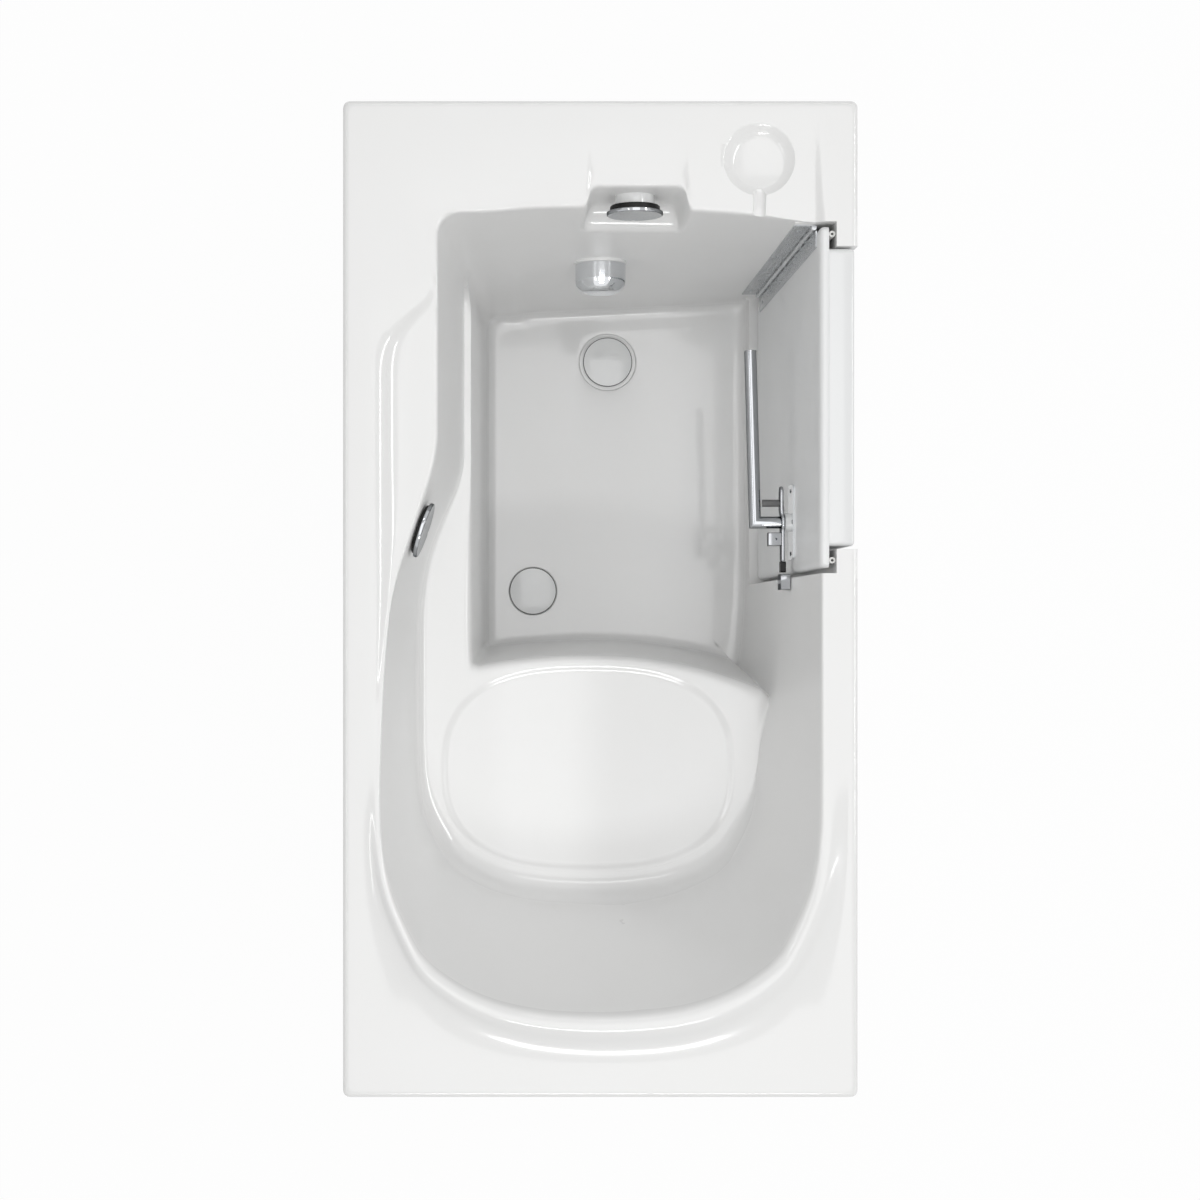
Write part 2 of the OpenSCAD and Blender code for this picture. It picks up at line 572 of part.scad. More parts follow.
// Carries +Z to -X at each of the service panel's screws
module service_screw_places() {
    for (y = [service_y[0] + screw_inset, service_y[1] - screw_inset],
         z = [service_z[0] + screw_inset, service_z[1] - screw_inset])
        translate([frame_x + apron_t, y, z]) rotate([0, -90, 0]) children();
}

module service_panel() {
    color(gloss) difference() {
        box(apron_x, service_y + [panel_gap, -panel_gap], service_z + [panel_gap, -panel_gap]);
        service_screw_places() translate([0, 0, -1]) cylinder(h = 20, r = screw_r + run_gap);
    }
}

screw_r = 2;
small_screw_r = 1.5;
// Pan-head screw: its head's seat is at 0, its shank runs along +Z
module screw(r, l) {
    cylinder(h = l, r = r);
    translate([0, 0, -0.6 * r]) cylinder(h = 0.6 * r, r1 = 1.4 * r, r2 = 2 * r);
}

module service_panel_screws() {
    color(steel) service_screw_places() screw(screw_r, apron_t + 3);
}

// ---- Frame -------------------------------------------------------------------------------
rail_x = frame_x - tube_w / 2;
rail_y = frame_y - tube_w / 2;
rail_z = foot_h + tube_w / 2;
top_rail_z = rim_h - wall_t - 1.5 - tube_w / 2;
post_ys = [-rail_y, -480, jamb_y0 - tube_w / 2 - 1, jamb_y1 + tube_w / 2 + 1, rail_y];
left_post_ys = [-rail_y, -250, 300, rail_y];
foot_ys = [-rail_y + 60, 0, rail_y - 60];
cross_ys = [-rail_y, -400, -200, rail_y];
bearer_ys = [seat_front_y + 33, 190, 385];
seat_bearer_ys = [-400, -200];
seat_post_x = 150;
bearer_z = floor_z - wall_t - board_t - tube_w / 2;
seat_bearer_z = seat_z - wall_t - 1.7 - tube_w / 2;

// Square tube of length l along +Z, centred on its axis
module tube_stock(l) {
    linear_extrude(l) difference() {
        square(tube_w, center = true);
        square(tube_w - 2 * tube_t, center = true);
    }
}
module along_x(x0, x1, y, z) { translate([x0, y, z]) rotate([0, 90, 0]) tube_stock(x1 - x0); }
module along_y(x, y0, y1, z) { translate([x, y1, z]) rotate([90, 0, 0]) tube_stock(y1 - y0); }
module along_z(x, y, z0, z1) { translate([x, y, z0]) tube_stock(z1 - z0); }

module base_rails() {
    color(steel) for (s = [-1, 1]) along_y(s * rail_x, -frame_y, frame_y, rail_z);
}
module cross_members() {
    color(steel) for (y = cross_ys) along_x(-frame_x + tube_w, frame_x - tube_w, y, rail_z);
}
module frame_posts() {
    color(steel) {
        for (y = post_ys) along_z(rail_x, y, foot_h + tube_w, top_rail_z - tube_w / 2);
        for (y = left_post_ys) along_z(-rail_x, y, foot_h + tube_w, top_rail_z - tube_w / 2);
    }
}
module top_rails() {
    color(steel) {
        along_y(rail_x, -frame_y, jamb_y0 - 1, top_rail_z);
        along_y(rail_x, jamb_y1 + 1, frame_y, top_rail_z);
        along_y(-rail_x, -frame_y, frame_y, top_rail_z);
        for (s = [-1, 1]) along_x(-frame_x + tube_w, frame_x - tube_w, s * rail_y, top_rail_z);
    }
}
module seat_posts() {
    color(steel) for (x = [-seat_post_x, seat_post_x], y = seat_bearer_ys)
        along_z(x, y, foot_h + tube_w, seat_bearer_z - tube_w / 2);
}
module seat_bearers() {
    color(steel) for (y = seat_bearer_ys) along_x(-seat_post_x - 60, seat_post_x + 60, y, seat_bearer_z);
}
// Each bearer stands on the base rails through a short leg at each end
module floor_bearers() {
    color(steel) for (y = bearer_ys) {
        along_x(-frame_x, frame_x, y, bearer_z);
        for (s = [-1, 1]) along_z(s * rail_x, y, foot_h + tube_w, bearer_z - tube_w / 2);
    }
}
module floor_board() {
    x0 = floor_left_x + 6;
    x1 = floor_right_x - 14;
    color("burlywood") translate([0, 0, floor_z - wall_t - board_t]) difference() {
        box([x0, x1], [seat_front_y + 36, floor_foot_y - 12], [0, board_t]);
        translate([niche_x, foot_drain_y, -1]) cylinder(h = board_t + 2, r = nut_r + 4);
        translate([side_drain_x, side_drain_y, -1]) cylinder(h = board_t + 2, r = nut_r + 4);
    }
}
stud_r = 5;
lock_nut_h = 6;
module foot_places() {
    for (s = [-1, 1], y = foot_ys) translate([s * rail_x, y, 0]) children();
}
module levelling_feet() {
    color(dark) foot_places() {
        cylinder(h = 6, r = 18);
        translate([0, 0, 6]) cylinder(h = 4, r1 = 18, r2 = 9);
        translate([0, 0, 10]) cylinder(h = foot_h - 10, r = stud_r);
    }
}
module foot_lock_nuts() {
    color(steel) foot_places() translate([0, 0, foot_h - lock_nut_h]) difference() {
        linear_extrude(lock_nut_h) circle(r = 10, $fn = 6);
        translate([0, 0, -1]) cylinder(h = lock_nut_h + 2, r = stud_r + run_gap);
    }
}

// ---- Door --------------------------------------------------------------------------------
edge_r = 6;
outer_x = [door_x + flange_t, hx - 4.7];
outer_y = [door_y0 + flange_lap, door_y1 - flange_lap];
outer_z0 = threshold_z + door_gap + 0.5;

// Slab in the YZ plane with rounded corners, from x[0] to x[1]
module slab(x, y, z, r) {
    translate([x[0], 0, 0]) rotate([90, 0, 90]) linear_extrude(x[1] - x[0]) rounded(y, z, r);
}
module rounded(u, v, r) {
    translate([u[0] + r, v[0]]) square([u[1] - u[0] - 2 * r, v[1] - v[0]]);
    translate([u[0], v[0] + r]) square([u[1] - u[0], v[1] - v[0] - 2 * r]);
    for (a = [u[0] + r, u[1] - r], b = [v[0] + r, v[1] - r]) translate([a, b]) circle(r = r);
}

module door_inner_panel() {
    color(gloss) difference() {
        slab([door_x, door_x + flange_t], [door_y0, door_y1], [door_z0, door_top], edge_r);
        latch_screw_places() cylinder(h = latch_screw_l + 1, r = screw_r + run_gap);
        door_leaf_screw_places() cylinder(h = hinge_screw_l + 1, r = small_screw_r + run_gap);
    }
}
// Hollow tray that closes the door's outer side
module door_outer_panel() {
    color(gloss) difference() {
        slab(outer_x, outer_y, [outer_z0, door_top], edge_r);
        slab([outer_x[0] - 1, outer_x[1] - skin_t], outer_y + [skin_t, -skin_t],
            [outer_z0 + skin_t, door_top - skin_t], edge_r - 2);
    }
}
// Ladder of pressed steel channel inside the door, open towards the outer skin
core_x = [outer_x[0], outer_x[1] - skin_t];
core_y = outer_y + [skin_t, -skin_t];
core_z = [outer_z0 + skin_t, door_top - skin_t];
core_rail = 25;
core_t = 2;
module core_ladder(x, e) {
    window_h = (core_z[1] - core_z[0] - 4 * core_rail) / 3;
    difference() {
        box(x, core_y + [e, -e], core_z + [e, -e]);
        for (k = [0:2]) let (z0 = core_z[0] + core_rail + k * (window_h + core_rail))
            box([x[0] - 1, x[1] + 1], core_y + [core_rail - e, e - core_rail], [z0 - e, z0 + window_h + e]);
    }
}
module door_core_frame() {
    color(steel) difference() {
        core_ladder(core_x, 4);
        core_ladder(core_x + [core_t, core_t], 4 + core_t);
    }
}

// Hollow bulb seal on the back of the flange: down one side, along the bottom and up the other
seal_r = seal_d / 2;
seal_hole_r = 2;
seal_x = door_x + flange_t + seal_r + soft_gap / 2;
seal_inset = (flange_lap - door_gap) / 2 - 4;
seal_y = [door_y0 + seal_inset, door_y1 - seal_inset];
seal_z = door_z0 + seal_inset;
seal_bend = 16;
module seal_section() {
    difference() {
        circle(r = seal_r - soft_gap / 2);
        circle(r = seal_hole_r);
    }
}
module door_seal() {
    color(gloss) translate([seal_x, 0, 0]) {
        for (y = seal_y) translate([0, y, seal_z + seal_bend])
            linear_extrude(door_top - 3 - seal_z - seal_bend) seal_section();
        translate([0, seal_y[1] - seal_bend, seal_z]) rotate([90, 0, 0])
            linear_extrude(seal_y[1] - seal_y[0] - 2 * seal_bend) seal_section();
        translate([0, seal_y[1] - seal_bend, seal_z + seal_bend]) seal_corner(-90);
        translate([0, seal_y[0] + seal_bend, seal_z + seal_bend]) seal_corner(180);
    }
}
module seal_corner(a) {
    rotate([0, 90, 0]) rotate([0, 0, a + 90]) rotate_extrude(angle = 90)
        translate([seal_bend, 0]) seal_section();
}

// ---- Hinge -------------------------------------------------------------------------------
axis_x = door_x - knuckle_r - 0.5;
axis_y = foot_y_right - knuckle_r - 0.5;
hinge_z0 = door_z0 + 45;
hinge_z1 = hinge_z0 + knuckles * knuckle_l;
hinge_screw_zs = [for (k = [0:5]) hinge_z0 + knuckle_l * (1.5 + 4 * k)];
leaf_clear = 0.5;
hinge_screw_l = leaf_t + 5;

module knuckle_run(first) {
    for (k = [first:2:knuckles - 1])
        translate([axis_x, axis_y, hinge_z0 + k * knuckle_l + soft_gap]) children();
}
module hinge_bore() {
    translate([axis_x, axis_y, hinge_z0 - 1]) cylinder(h = knuckles * knuckle_l + 2, r = pin_r + run_gap);
}
// Tub leaf lies on the foot wall, its knuckles reach the pin
module hinge_leaf_tub() {
    h = knuckle_l - 2 * soft_gap;
    color(steel) difference() {
        union() {
            box([axis_x - leaf_w, axis_x - knuckle_r - leaf_clear],
                [foot_y_right - leaf_t, foot_y_right], [hinge_z0, hinge_z1]);
            knuckle_run(0) {
                cylinder(h = h, r = knuckle_r);
                box([-knuckle_r - 1, 0], span(foot_y_right - axis_y, [-leaf_t, 0]), [0, h]);
            }
        }
        hinge_bore();
        tub_leaf_screw_places() translate([0, 0, -1]) cylinder(h = 6, r = small_screw_r + run_gap);
    }
}
// Door leaf lies on the door's inner face
module hinge_leaf_door() {
    h = knuckle_l - 2 * soft_gap;
    color(steel) difference() {
        union() {
            box([door_x - leaf_t, door_x], [axis_y - leaf_w, axis_y - knuckle_r - leaf_clear],
                [hinge_z0, hinge_z1]);
            knuckle_run(1) {
                cylinder(h = h, r = knuckle_r);
                box(span(door_x - axis_x, [-leaf_t, 0]), [-knuckle_r - 1, 0], [0, h]);
            }
        }
        hinge_bore();
        door_leaf_screw_places() translate([0, 0, -3]) cylinder(h = 6, r = small_screw_r + run_gap);
    }
}
module hinge_pin() {
    color(steel) translate([axis_x, axis_y, hinge_z0]) {
        cylinder(h = hinge_z1 - hinge_z0, r = pin_r);
        translate([0, 0, -2]) cylinder(h = 2, r = knuckle_r);
        translate([0, 0, hinge_z1 - hinge_z0]) cylinder(h = 2, r = knuckle_r);
    }
}
// Carry +Z into the wall or the door at each hinge screw
module tub_leaf_screw_places() {
    for (z = hinge_screw_zs)
        translate([axis_x - leaf_w * 0.6, foot_y_right - leaf_t, z]) rotate([-90, 0, 0]) children();
}
module door_leaf_screw_places() {
    for (z = hinge_screw_zs)
        translate([door_x - leaf_t, axis_y - leaf_w * 0.6, z]) rotate([0, 90, 0]) children();
}
module flat_screw(r, l) {
    cylinder(h = l, r = r);
    translate([0, 0, -0.8]) cylinder(h = 0.8, r = 1.8 * r);
}
module hinge_screws_tub() { color(steel) tub_leaf_screw_places() flat_screw(small_screw_r, hinge_screw_l); }
module hinge_screws_door() { color(steel) door_leaf_screw_places() flat_screw(small_screw_r, hinge_screw_l); }

// ---- Latch -------------------------------------------------------------------------------
latch_z = rim_h - latch_drop;
base_t = 3;
housing_x = [door_x - 13, door_x - base_t];
rocker_x = [housing_x[0] - 6.5, housing_x[0] - 0.5];
rocker_w = 22;
latch_screw_yz = [[-52, 0], [52, 0], [0, -21.5], [0, 21.5]];
latch_screw_l = base_t + 8;
pivot_r = lever_r - 3;
housing_r = 15;
lever_x = door_x - lever_out;

// Turns +X to point along the pivot, at the pivot
module at_pivot(x) { translate([x, latch_y, latch_z]) rotate([0, 90, 0]) children(); }
module latch_screw_places() {
    for (p = latch_screw_yz)
        translate([door_x - base_t, latch_y + p[0], latch_z + p[1]]) rotate([0, 90, 0]) children();
}
module latch_base_plate() {
    color(chrome) difference() {
        slab([door_x - base_t, door_x], span(latch_y, [-62, 62]), span(latch_z, [-27, 27]), 8);
        latch_screw_places() translate([0, 0, -1]) cylinder(h = 6, r = screw_r + run_gap);
        at_pivot(door_x - base_t - 1) cylinder(h = base_t + 2, r = pivot_r + run_gap);
    }
}
module latch_housing() {
    color(chrome) difference() {
        at_pivot(housing_x[0]) cylinder(h = housing_x[1] - housing_x[0], r = housing_r);
        at_pivot(housing_x[0] - 1) cylinder(h = 20, r = lever_r + run_gap);
    }
}
module latch_screws() { color(steel) latch_screw_places() screw(screw_r, latch_screw_l); }

// Flat rocking plate: one end carries the hook tip, the other the buffer
module latch_rocker() {
    color(chrome) difference() {
        translate([rocker_x[0], latch_y, latch_z]) rotate([90, 0, 90])
            linear_extrude(rocker_x[1] - rocker_x[0]) {
                circle(r = 17);
                translate([-rocker_fore, -rocker_w / 2]) square([rocker_fore + rocker_aft - 12, rocker_w]);
                translate([rocker_aft - 12, 0]) circle(r = rocker_w / 2);
            }
        at_pivot(rocker_x[0] - 1) cylinder(h = 20, r = lever_r);
    }
}
tip_l = 18;
module hook_tip() {
    y = latch_y - rocker_fore;
    color("black") slab([rocker_x[0] - 1, rocker_x[1] + 2], [y - tip_l, y], span(latch_z, [-9, 9]), 3);
}
// Round tube: a stub along the pivot, a bend, and an arm towards the hinge
lever_bend = lever_r + 2;
lever_wall = 1.5;
// Straight lengths are a hair thinner than the bend, and run 1 mm into it
tube_r = lever_r - 0.05;
module latch_lever() {
    color(chrome) difference() {
        union() {
            at_pivot(lever_x + lever_bend - 1)
                cylinder(h = door_x - base_t - soft_gap - lever_x - lever_bend + 1, r = tube_r);
            at_pivot(door_x - base_t - soft_gap) cylinder(h = base_t, r = pivot_r);
            at_bend() rotate_extrude(angle = 90 - lever_lean)
                translate([lever_bend, 0]) circle(r = lever_r);
            at_arm() translate([0, 0, -1]) cylinder(h = lever_l - lever_bend + 1, r = tube_r);
        }
        at_arm() translate([0, 0, 20]) cylinder(h = lever_l, r = lever_r - lever_wall);
    }
}
module at_bend() {
    translate([lever_x + lever_bend, latch_y + lever_bend, latch_z])
        rotate([0, 0, 180 + lever_lean]) children();
}
// Carries +Z to the arm's direction, at the end of the bend
module at_arm() { at_bend() translate([lever_bend, 0, 0]) rotate([90, 0, 0]) children(); }
module lever_end_cap() {
    color(chrome) at_arm() translate([0, 0, lever_l - lever_bend]) {
        cylinder(h = 2, r = lever_r);
        translate([0, 0, -8]) cylinder(h = 8, r = lever_r - lever_wall);
    }
}
buffer_y = latch_y + 32;
module lever_buffer() {
    color("black") translate([lever_x + lever_r + 2, buffer_y, latch_z]) rotate([0, 90, 0])
        cylinder(h = rocker_x[0] - lever_x - lever_r - 2, r = 6);
}
stop_y = latch_y - 28;
module lever_stop_block() {
    color(chrome) difference() {
        slab(span(rocker_x[0], [-21, 0]), span(stop_y, [-11, 11]), span(latch_z, [-10, 10]), 2);
        translate([rocker_x[0] - 9, stop_y, latch_z]) cylinder(h = 30, r = 2.5);
    }
}
keeper_y = [20, 46];
keeper_x = [rocker_x[0] - 2, right_wall_x(latch_z - 20) - 1.1];
keeper_screw_l = keeper_x[1] - keeper_x[0] + 6;
module keeper() {
    color(chrome) difference() {
        slab(keeper_x, keeper_y, span(latch_z, [-20, 20]), 3);
        for (k = [0:3])
            box(span(keeper_x[0] + 3.5 * k, [2, 3.5]), span(keeper_y[1], [-1.5, 1]),
                span(latch_z, [-16, 16]));
        keeper_screw_places() translate([0, 0, -1]) cylinder(h = 40, r = screw_r + run_gap);
    }
}
module keeper_screw_places() {
    for (z = [latch_z - 12, latch_z + 12])
        translate([keeper_x[0], keeper_y[0] + 13, z]) rotate([0, 90, 0]) children();
}
module keeper_screws() { color(steel) keeper_screw_places() screw(screw_r, keeper_screw_l); }

// ---- Drains ------------------------------------------------------------------------------
body_r = 26;
bore_r = 23;
nut_r = 38;
stem_r = 4;
flange_h = 2.5;
shoe_r = 30;
fit_r = pipe_r + 3;
cable_r = 3;
gland_r = 5;
cable_off = fit_r + cable_r + 2;
cable_z = pipe_z + 20;
shoe_z = [pipe_z - 22, floor_z - 36];
strainer_z = floor_z - 22;

module drain_body(x, y, cap_r) {
    color(chrome) translate([x, y, 0]) difference() {
        union() {
            translate([0, 0, floor_z - recess_t]) difference() {
                cylinder(h = flange_h, r = cap_r - 4);
                translate([0, 0, -1]) cylinder(h = flange_h + 2, r = bore_r);
            }
            translate([0, 0, shoe_z[1] - 8]) difference() {
                cylinder(h = floor_z - recess_t - shoe_z[1] + 8, r = body_r);
                translate([0, 0, -1]) cylinder(h = 100, r = bore_r);
            }
            for (a = [0, 90]) rotate([0, 0, a])
                box([-bore_r - 1, bore_r + 1], [-2, 2], [strainer_z, strainer_z + 5]);
            translate([0, 0, strainer_z]) cylinder(h = 8, r = 7);
        }
        translate([0, 0, strainer_z - 1]) cylinder(h = 20, r = stem_r + run_gap);
    }
}
module drain_nut(x, y) {
    color(dark) translate([x, y, floor_z - wall_t - board_t + 2]) difference() {
        cylinder(h = board_t - 2, r = nut_r);
        translate([0, 0, -1]) cylinder(h = board_t + 2, r = body_r + run_gap);
    }
}
// Cup under the drain, with a socket for the waste pipe at angle a
module drain_shoe(x, y, a) {
    color(dark) translate([x, y, 0]) difference() {
        union() {
            translate([0, 0, shoe_z[0]]) cylinder(h = shoe_z[1] - shoe_z[0], r = shoe_r);
            rotate([0, 0, a]) translate([0, 0, pipe_z]) rotate([0, 90, 0])
                cylinder(h = shoe_r + 16, r = fit_r);
            rotate([0, 0, a]) translate([0, -cable_off, cable_z]) rotate([0, 90, 0])
                cylinder(h = shoe_r - 2, r = gland_r);
        }
        translate([0, 0, shoe_z[0] + 3]) cylinder(h = 100, r = bore_r);
        translate([0, 0, shoe_z[1] - 8]) cylinder(h = 100, r = body_r + run_gap);
        rotate([0, 0, a]) translate([0, 0, pipe_z]) rotate([0, 90, 0]) {
            cylinder(h = 100, r = pipe_r - pipe_t);
            translate([0, 0, shoe_r + 4]) cylinder(h = 100, r = pipe_r + run_gap);
        }
    }
}
cap_z = floor_z - recess_t + flange_h + soft_gap;
cap_edge = 3;
cap_crown = 3.5;
module stopper_cap(x, y, r) {
    dome_r = (r * r + cap_crown * cap_crown) / (2 * cap_crown);
    color(gloss) translate([x, y, cap_z]) {
        cylinder(h = cap_edge, r = r);
        translate([0, 0, cap_edge]) rotate_extrude($fn = 64) intersection() {
            translate([0, cap_crown - dome_r]) circle(r = dome_r, $fn = 360);
            square([r, cap_crown]);
        }
    }
}
module stopper_stem(x, y) {
    color(steel) translate([x, y, 0]) {
        translate([0, 0, strainer_z - 12]) cylinder(h = cap_z - strainer_z + 12, r = stem_r);
        translate([0, 0, strainer_z - 14]) cylinder(h = 2, r = stem_r + 1.5);
    }
}

// Knob: a disc with a rounded front edge and a finger notch; its back lies at off, facing -Z
foot_stand_off = 15.5;
side_stand_off = 3;
foot_knob_t = 15;
side_knob_t = 11;
hub_r = 9;
hub_l = 7;
module knob(off, t) {
    color(chrome) translate([0, 0, off + soft_gap]) difference() {
        rotate_extrude($fn = 96) {
            square([knob_r - 4, t]);
            square([knob_r, t - 4]);
            translate([knob_r - 4, t - 4]) circle(r = 4);
        }
        translate([knob_r + 3, 0, -1]) cylinder(h = t + 2, r = 7);
        translate([0, 0, -1]) cylinder(h = hub_l + 1.5, r = hub_r + run_gap);
    }
}
// Fixed collar between the wall's face at 0 and the knob, whose spigot carries the knob
module knob_collar(face, off, r) {
    color(steel) {
        translate([0, 0, face]) cylinder(h = off - face, r = r);
        translate([0, 0, off]) cylinder(h = hub_l, r = hub_r);
        translate([0, 0, face - 9]) cylinder(h = 9, r = port_r - 1);
    }
}
// Elbow behind the wall: its mouth lies at -out, its leg runs down to the overflow pipe
body_gap = 1;
elbow_r = fit_r + 1;
elbow_len = 2 * elbow_r + body_gap;
elbow_drop = 40;
tee_h = 28;
module elbow_body(out) {
    translate([0, 0, -out - 6]) cylinder(h = 6, r = pad_r - 4);
    translate([0, 0, -out - elbow_len]) cylinder(h = elbow_len, r = elbow_r);
}
module elbow_bore(out) { translate([0, 0, -out - elbow_len + 6]) cylinder(h = elbow_len + 5, r = port_r); }
module elbow_leg(p, z, a) {
    translate([p[0], p[1], z - elbow_drop]) {
        cylinder(h = elbow_drop, r = fit_r);
        rotate([0, 0, a]) translate([0, cable_off, 0]) {
            cylinder(h = 14, r = gland_r);
            box([-gland_r, gland_r], [-8, 0], [0, 14]);
        }
    }
}
module leg_bore(p, z) {
    translate([p[0], p[1], z - elbow_drop - 1]) {
        cylinder(h = elbow_drop - 8, r = pipe_r + run_gap);
        cylinder(h = elbow_drop, r = pipe_r - pipe_t);
    }
}
function leg_out(out) = out + body_gap + elbow_r;
niche_out = wall_t + soft_gap;
side_out = pad_out + soft_gap;
foot_pipe = [niche_x, niche_y + leg_out(niche_out)];
side_pipe = [side_wall_x, side_wall_y] - leg_out(side_out) * side_dir;
foot_drain = [niche_x, foot_drain_y];
side_drain = [side_drain_x, side_drain_y];
function heading(p, q) = atan2(q[1] - p[1], q[0] - p[0]);
foot_heading = heading(foot_pipe, foot_drain);
side_heading = heading(side_pipe, side_drain);
module foot_overflow_elbow() {
    color(dark) difference() {
        union() {
            on_niche_wall() elbow_body(niche_out);
            elbow_leg(foot_pipe, foot_knob_z, foot_heading);
        }
        on_niche_wall() elbow_bore(niche_out);
        leg_bore(foot_pipe, foot_knob_z);
    }
}
module side_overflow_elbow() {
    color(dark) difference() {
        union() {
            on_side_wall() elbow_body(side_out);
            elbow_leg(side_pipe, side_knob_z, side_heading);
        }
        on_side_wall() elbow_bore(side_out);
        leg_bore(side_pipe, side_knob_z);
    }
}
module pipe(l) {
    difference() {
        cylinder(h = l, r = pipe_r);
        translate([0, 0, -1]) cylinder(h = l + 2, r = pipe_r - pipe_t);
    }
}
tee_r = fit_r + 1;
outlet_l = 52;
outlet_dir = 90;
// Tee at the foot of an overflow pipe: up, towards the drain at angle a, and a plain spigot out
// at angle b
module waste_tee(p, a, b) {
    color(dark) translate([p[0], p[1], pipe_z]) difference() {
        union() {
            translate([0, 0, -tee_r - 1]) cylinder(h = tee_r + 1 + tee_h, r = tee_r);
            tee_arms(a, b, tee_h, fit_r);
            rotate([0, 0, b]) rotate([0, 90, 0]) cylinder(h = tee_h + outlet_l, r = pipe_r);
        }
        translate([0, 0, pipe_t - pipe_r - 1]) cylinder(h = 100, r = pipe_r - pipe_t);
        translate([0, 0, tee_h - socket]) cylinder(h = 100, r = pipe_r + run_gap);
        tee_arms(a, b, 100, pipe_r - pipe_t - 1);
        rotate([0, 0, a]) rotate([0, 90, 0])
            translate([0, 0, tee_h - socket]) cylinder(h = 100, r = pipe_r + run_gap);
    }
}
// Two arms, made as one straight run where they are in line, the second a hair thinner elsewhere
module tee_arms(a, b, l, r) {
    if (abs(abs(a - b) - 180) < 0.01)
        rotate([0, 0, a]) rotate([0, 90, 0]) cylinder(h = 2 * l, r = r, center = true);
    else for (k = [0, 1]) rotate([0, 0, [a, b][k]]) rotate([0, 90, 0]) cylinder(h = l, r = r - 0.3 * k);
}
socket = 8;
seat_gap = 0.5;
pipe_start = tee_h - socket + seat_gap;
// Overflow pipe and pipe to the drain, each seated in its sockets
module waste_pipes(p, drain, z, a) {
    color(dark) {
        z0 = pipe_z + pipe_start;
        translate([p[0], p[1], z0]) pipe(z - 10 - z0);
        translate([p[0], p[1], pipe_z]) rotate([0, 0, a]) rotate([0, 90, 0])
            translate([0, 0, pipe_start]) pipe(norm(p - drain) - shoe_r - 4 - seat_gap - pipe_start);
    }
}

// Pull cable in its sheath, from the gland under the elbow down and across to the drain shoe
cable_bend = 12;
module drain_cable(p, drain, z, a) {
    color("black") translate([p[0], p[1], cable_z]) rotate([0, 0, a]) translate([0, cable_off, 0]) {
        translate([0, 0, cable_bend]) cylinder(h = z - elbow_drop - cable_z - cable_bend, r = cable_r);
        translate([cable_bend, 0, cable_bend]) rotate([90, 0, 0]) rotate([0, 0, 180])
            rotate_extrude(angle = 90) translate([cable_bend, 0]) circle(r = cable_r);
        translate([cable_bend, 0, 0]) rotate([0, 90, 0])
            cylinder(h = norm(p - drain) - cable_bend - shoe_r + 2, r = cable_r);
    }
}

module foot_drain_body() { drain_body(niche_x, foot_drain_y, foot_cap_r); }
module foot_drain_nut() { drain_nut(niche_x, foot_drain_y); }
module foot_drain_shoe() { drain_shoe(niche_x, foot_drain_y, foot_heading + 180); }
module foot_stopper_cap() { stopper_cap(niche_x, foot_drain_y, foot_cap_r); }
module foot_stopper_stem() { stopper_stem(niche_x, foot_drain_y); }
module foot_knob() { on_niche_wall() rotate([0, 0, -90]) knob(foot_stand_off, foot_knob_t); }
module foot_knob_collar() { on_niche_wall() knob_collar(0, foot_stand_off, 2 * port_r); }
module foot_waste_pipes() { waste_pipes(foot_pipe, foot_drain, foot_knob_z, foot_heading); }
module foot_waste_tee() { waste_tee(foot_pipe, foot_heading, outlet_dir); }
module foot_drain_cable() { drain_cable(foot_pipe, foot_drain, foot_knob_z, foot_heading); }
module side_drain_body() { drain_body(side_drain_x, side_drain_y, side_cap_r); }
module side_drain_nut() { drain_nut(side_drain_x, side_drain_y); }
module side_drain_shoe() { drain_shoe(side_drain_x, side_drain_y, side_heading + 180); }
module side_stopper_cap() { stopper_cap(side_drain_x, side_drain_y, side_cap_r); }
module side_stopper_stem() { stopper_stem(side_drain_x, side_drain_y); }
module side_knob() { on_side_wall() knob(side_stand_off, side_knob_t); }
module side_knob_collar() { on_side_wall() knob_collar(side_pad, side_stand_off, 26); }
module side_waste_pipes() { waste_pipes(side_pipe, side_drain, side_knob_z, side_heading); }
module side_waste_tee() { waste_tee(side_pipe, side_heading, outlet_dir); }
module side_drain_cable() { drain_cable(side_pipe, side_drain, side_knob_z, side_heading); }

// ---- Water inlet -------------------------------------------------------------------------
hood_wall = 3;
hood_off = inlet_pad + soft_gap;
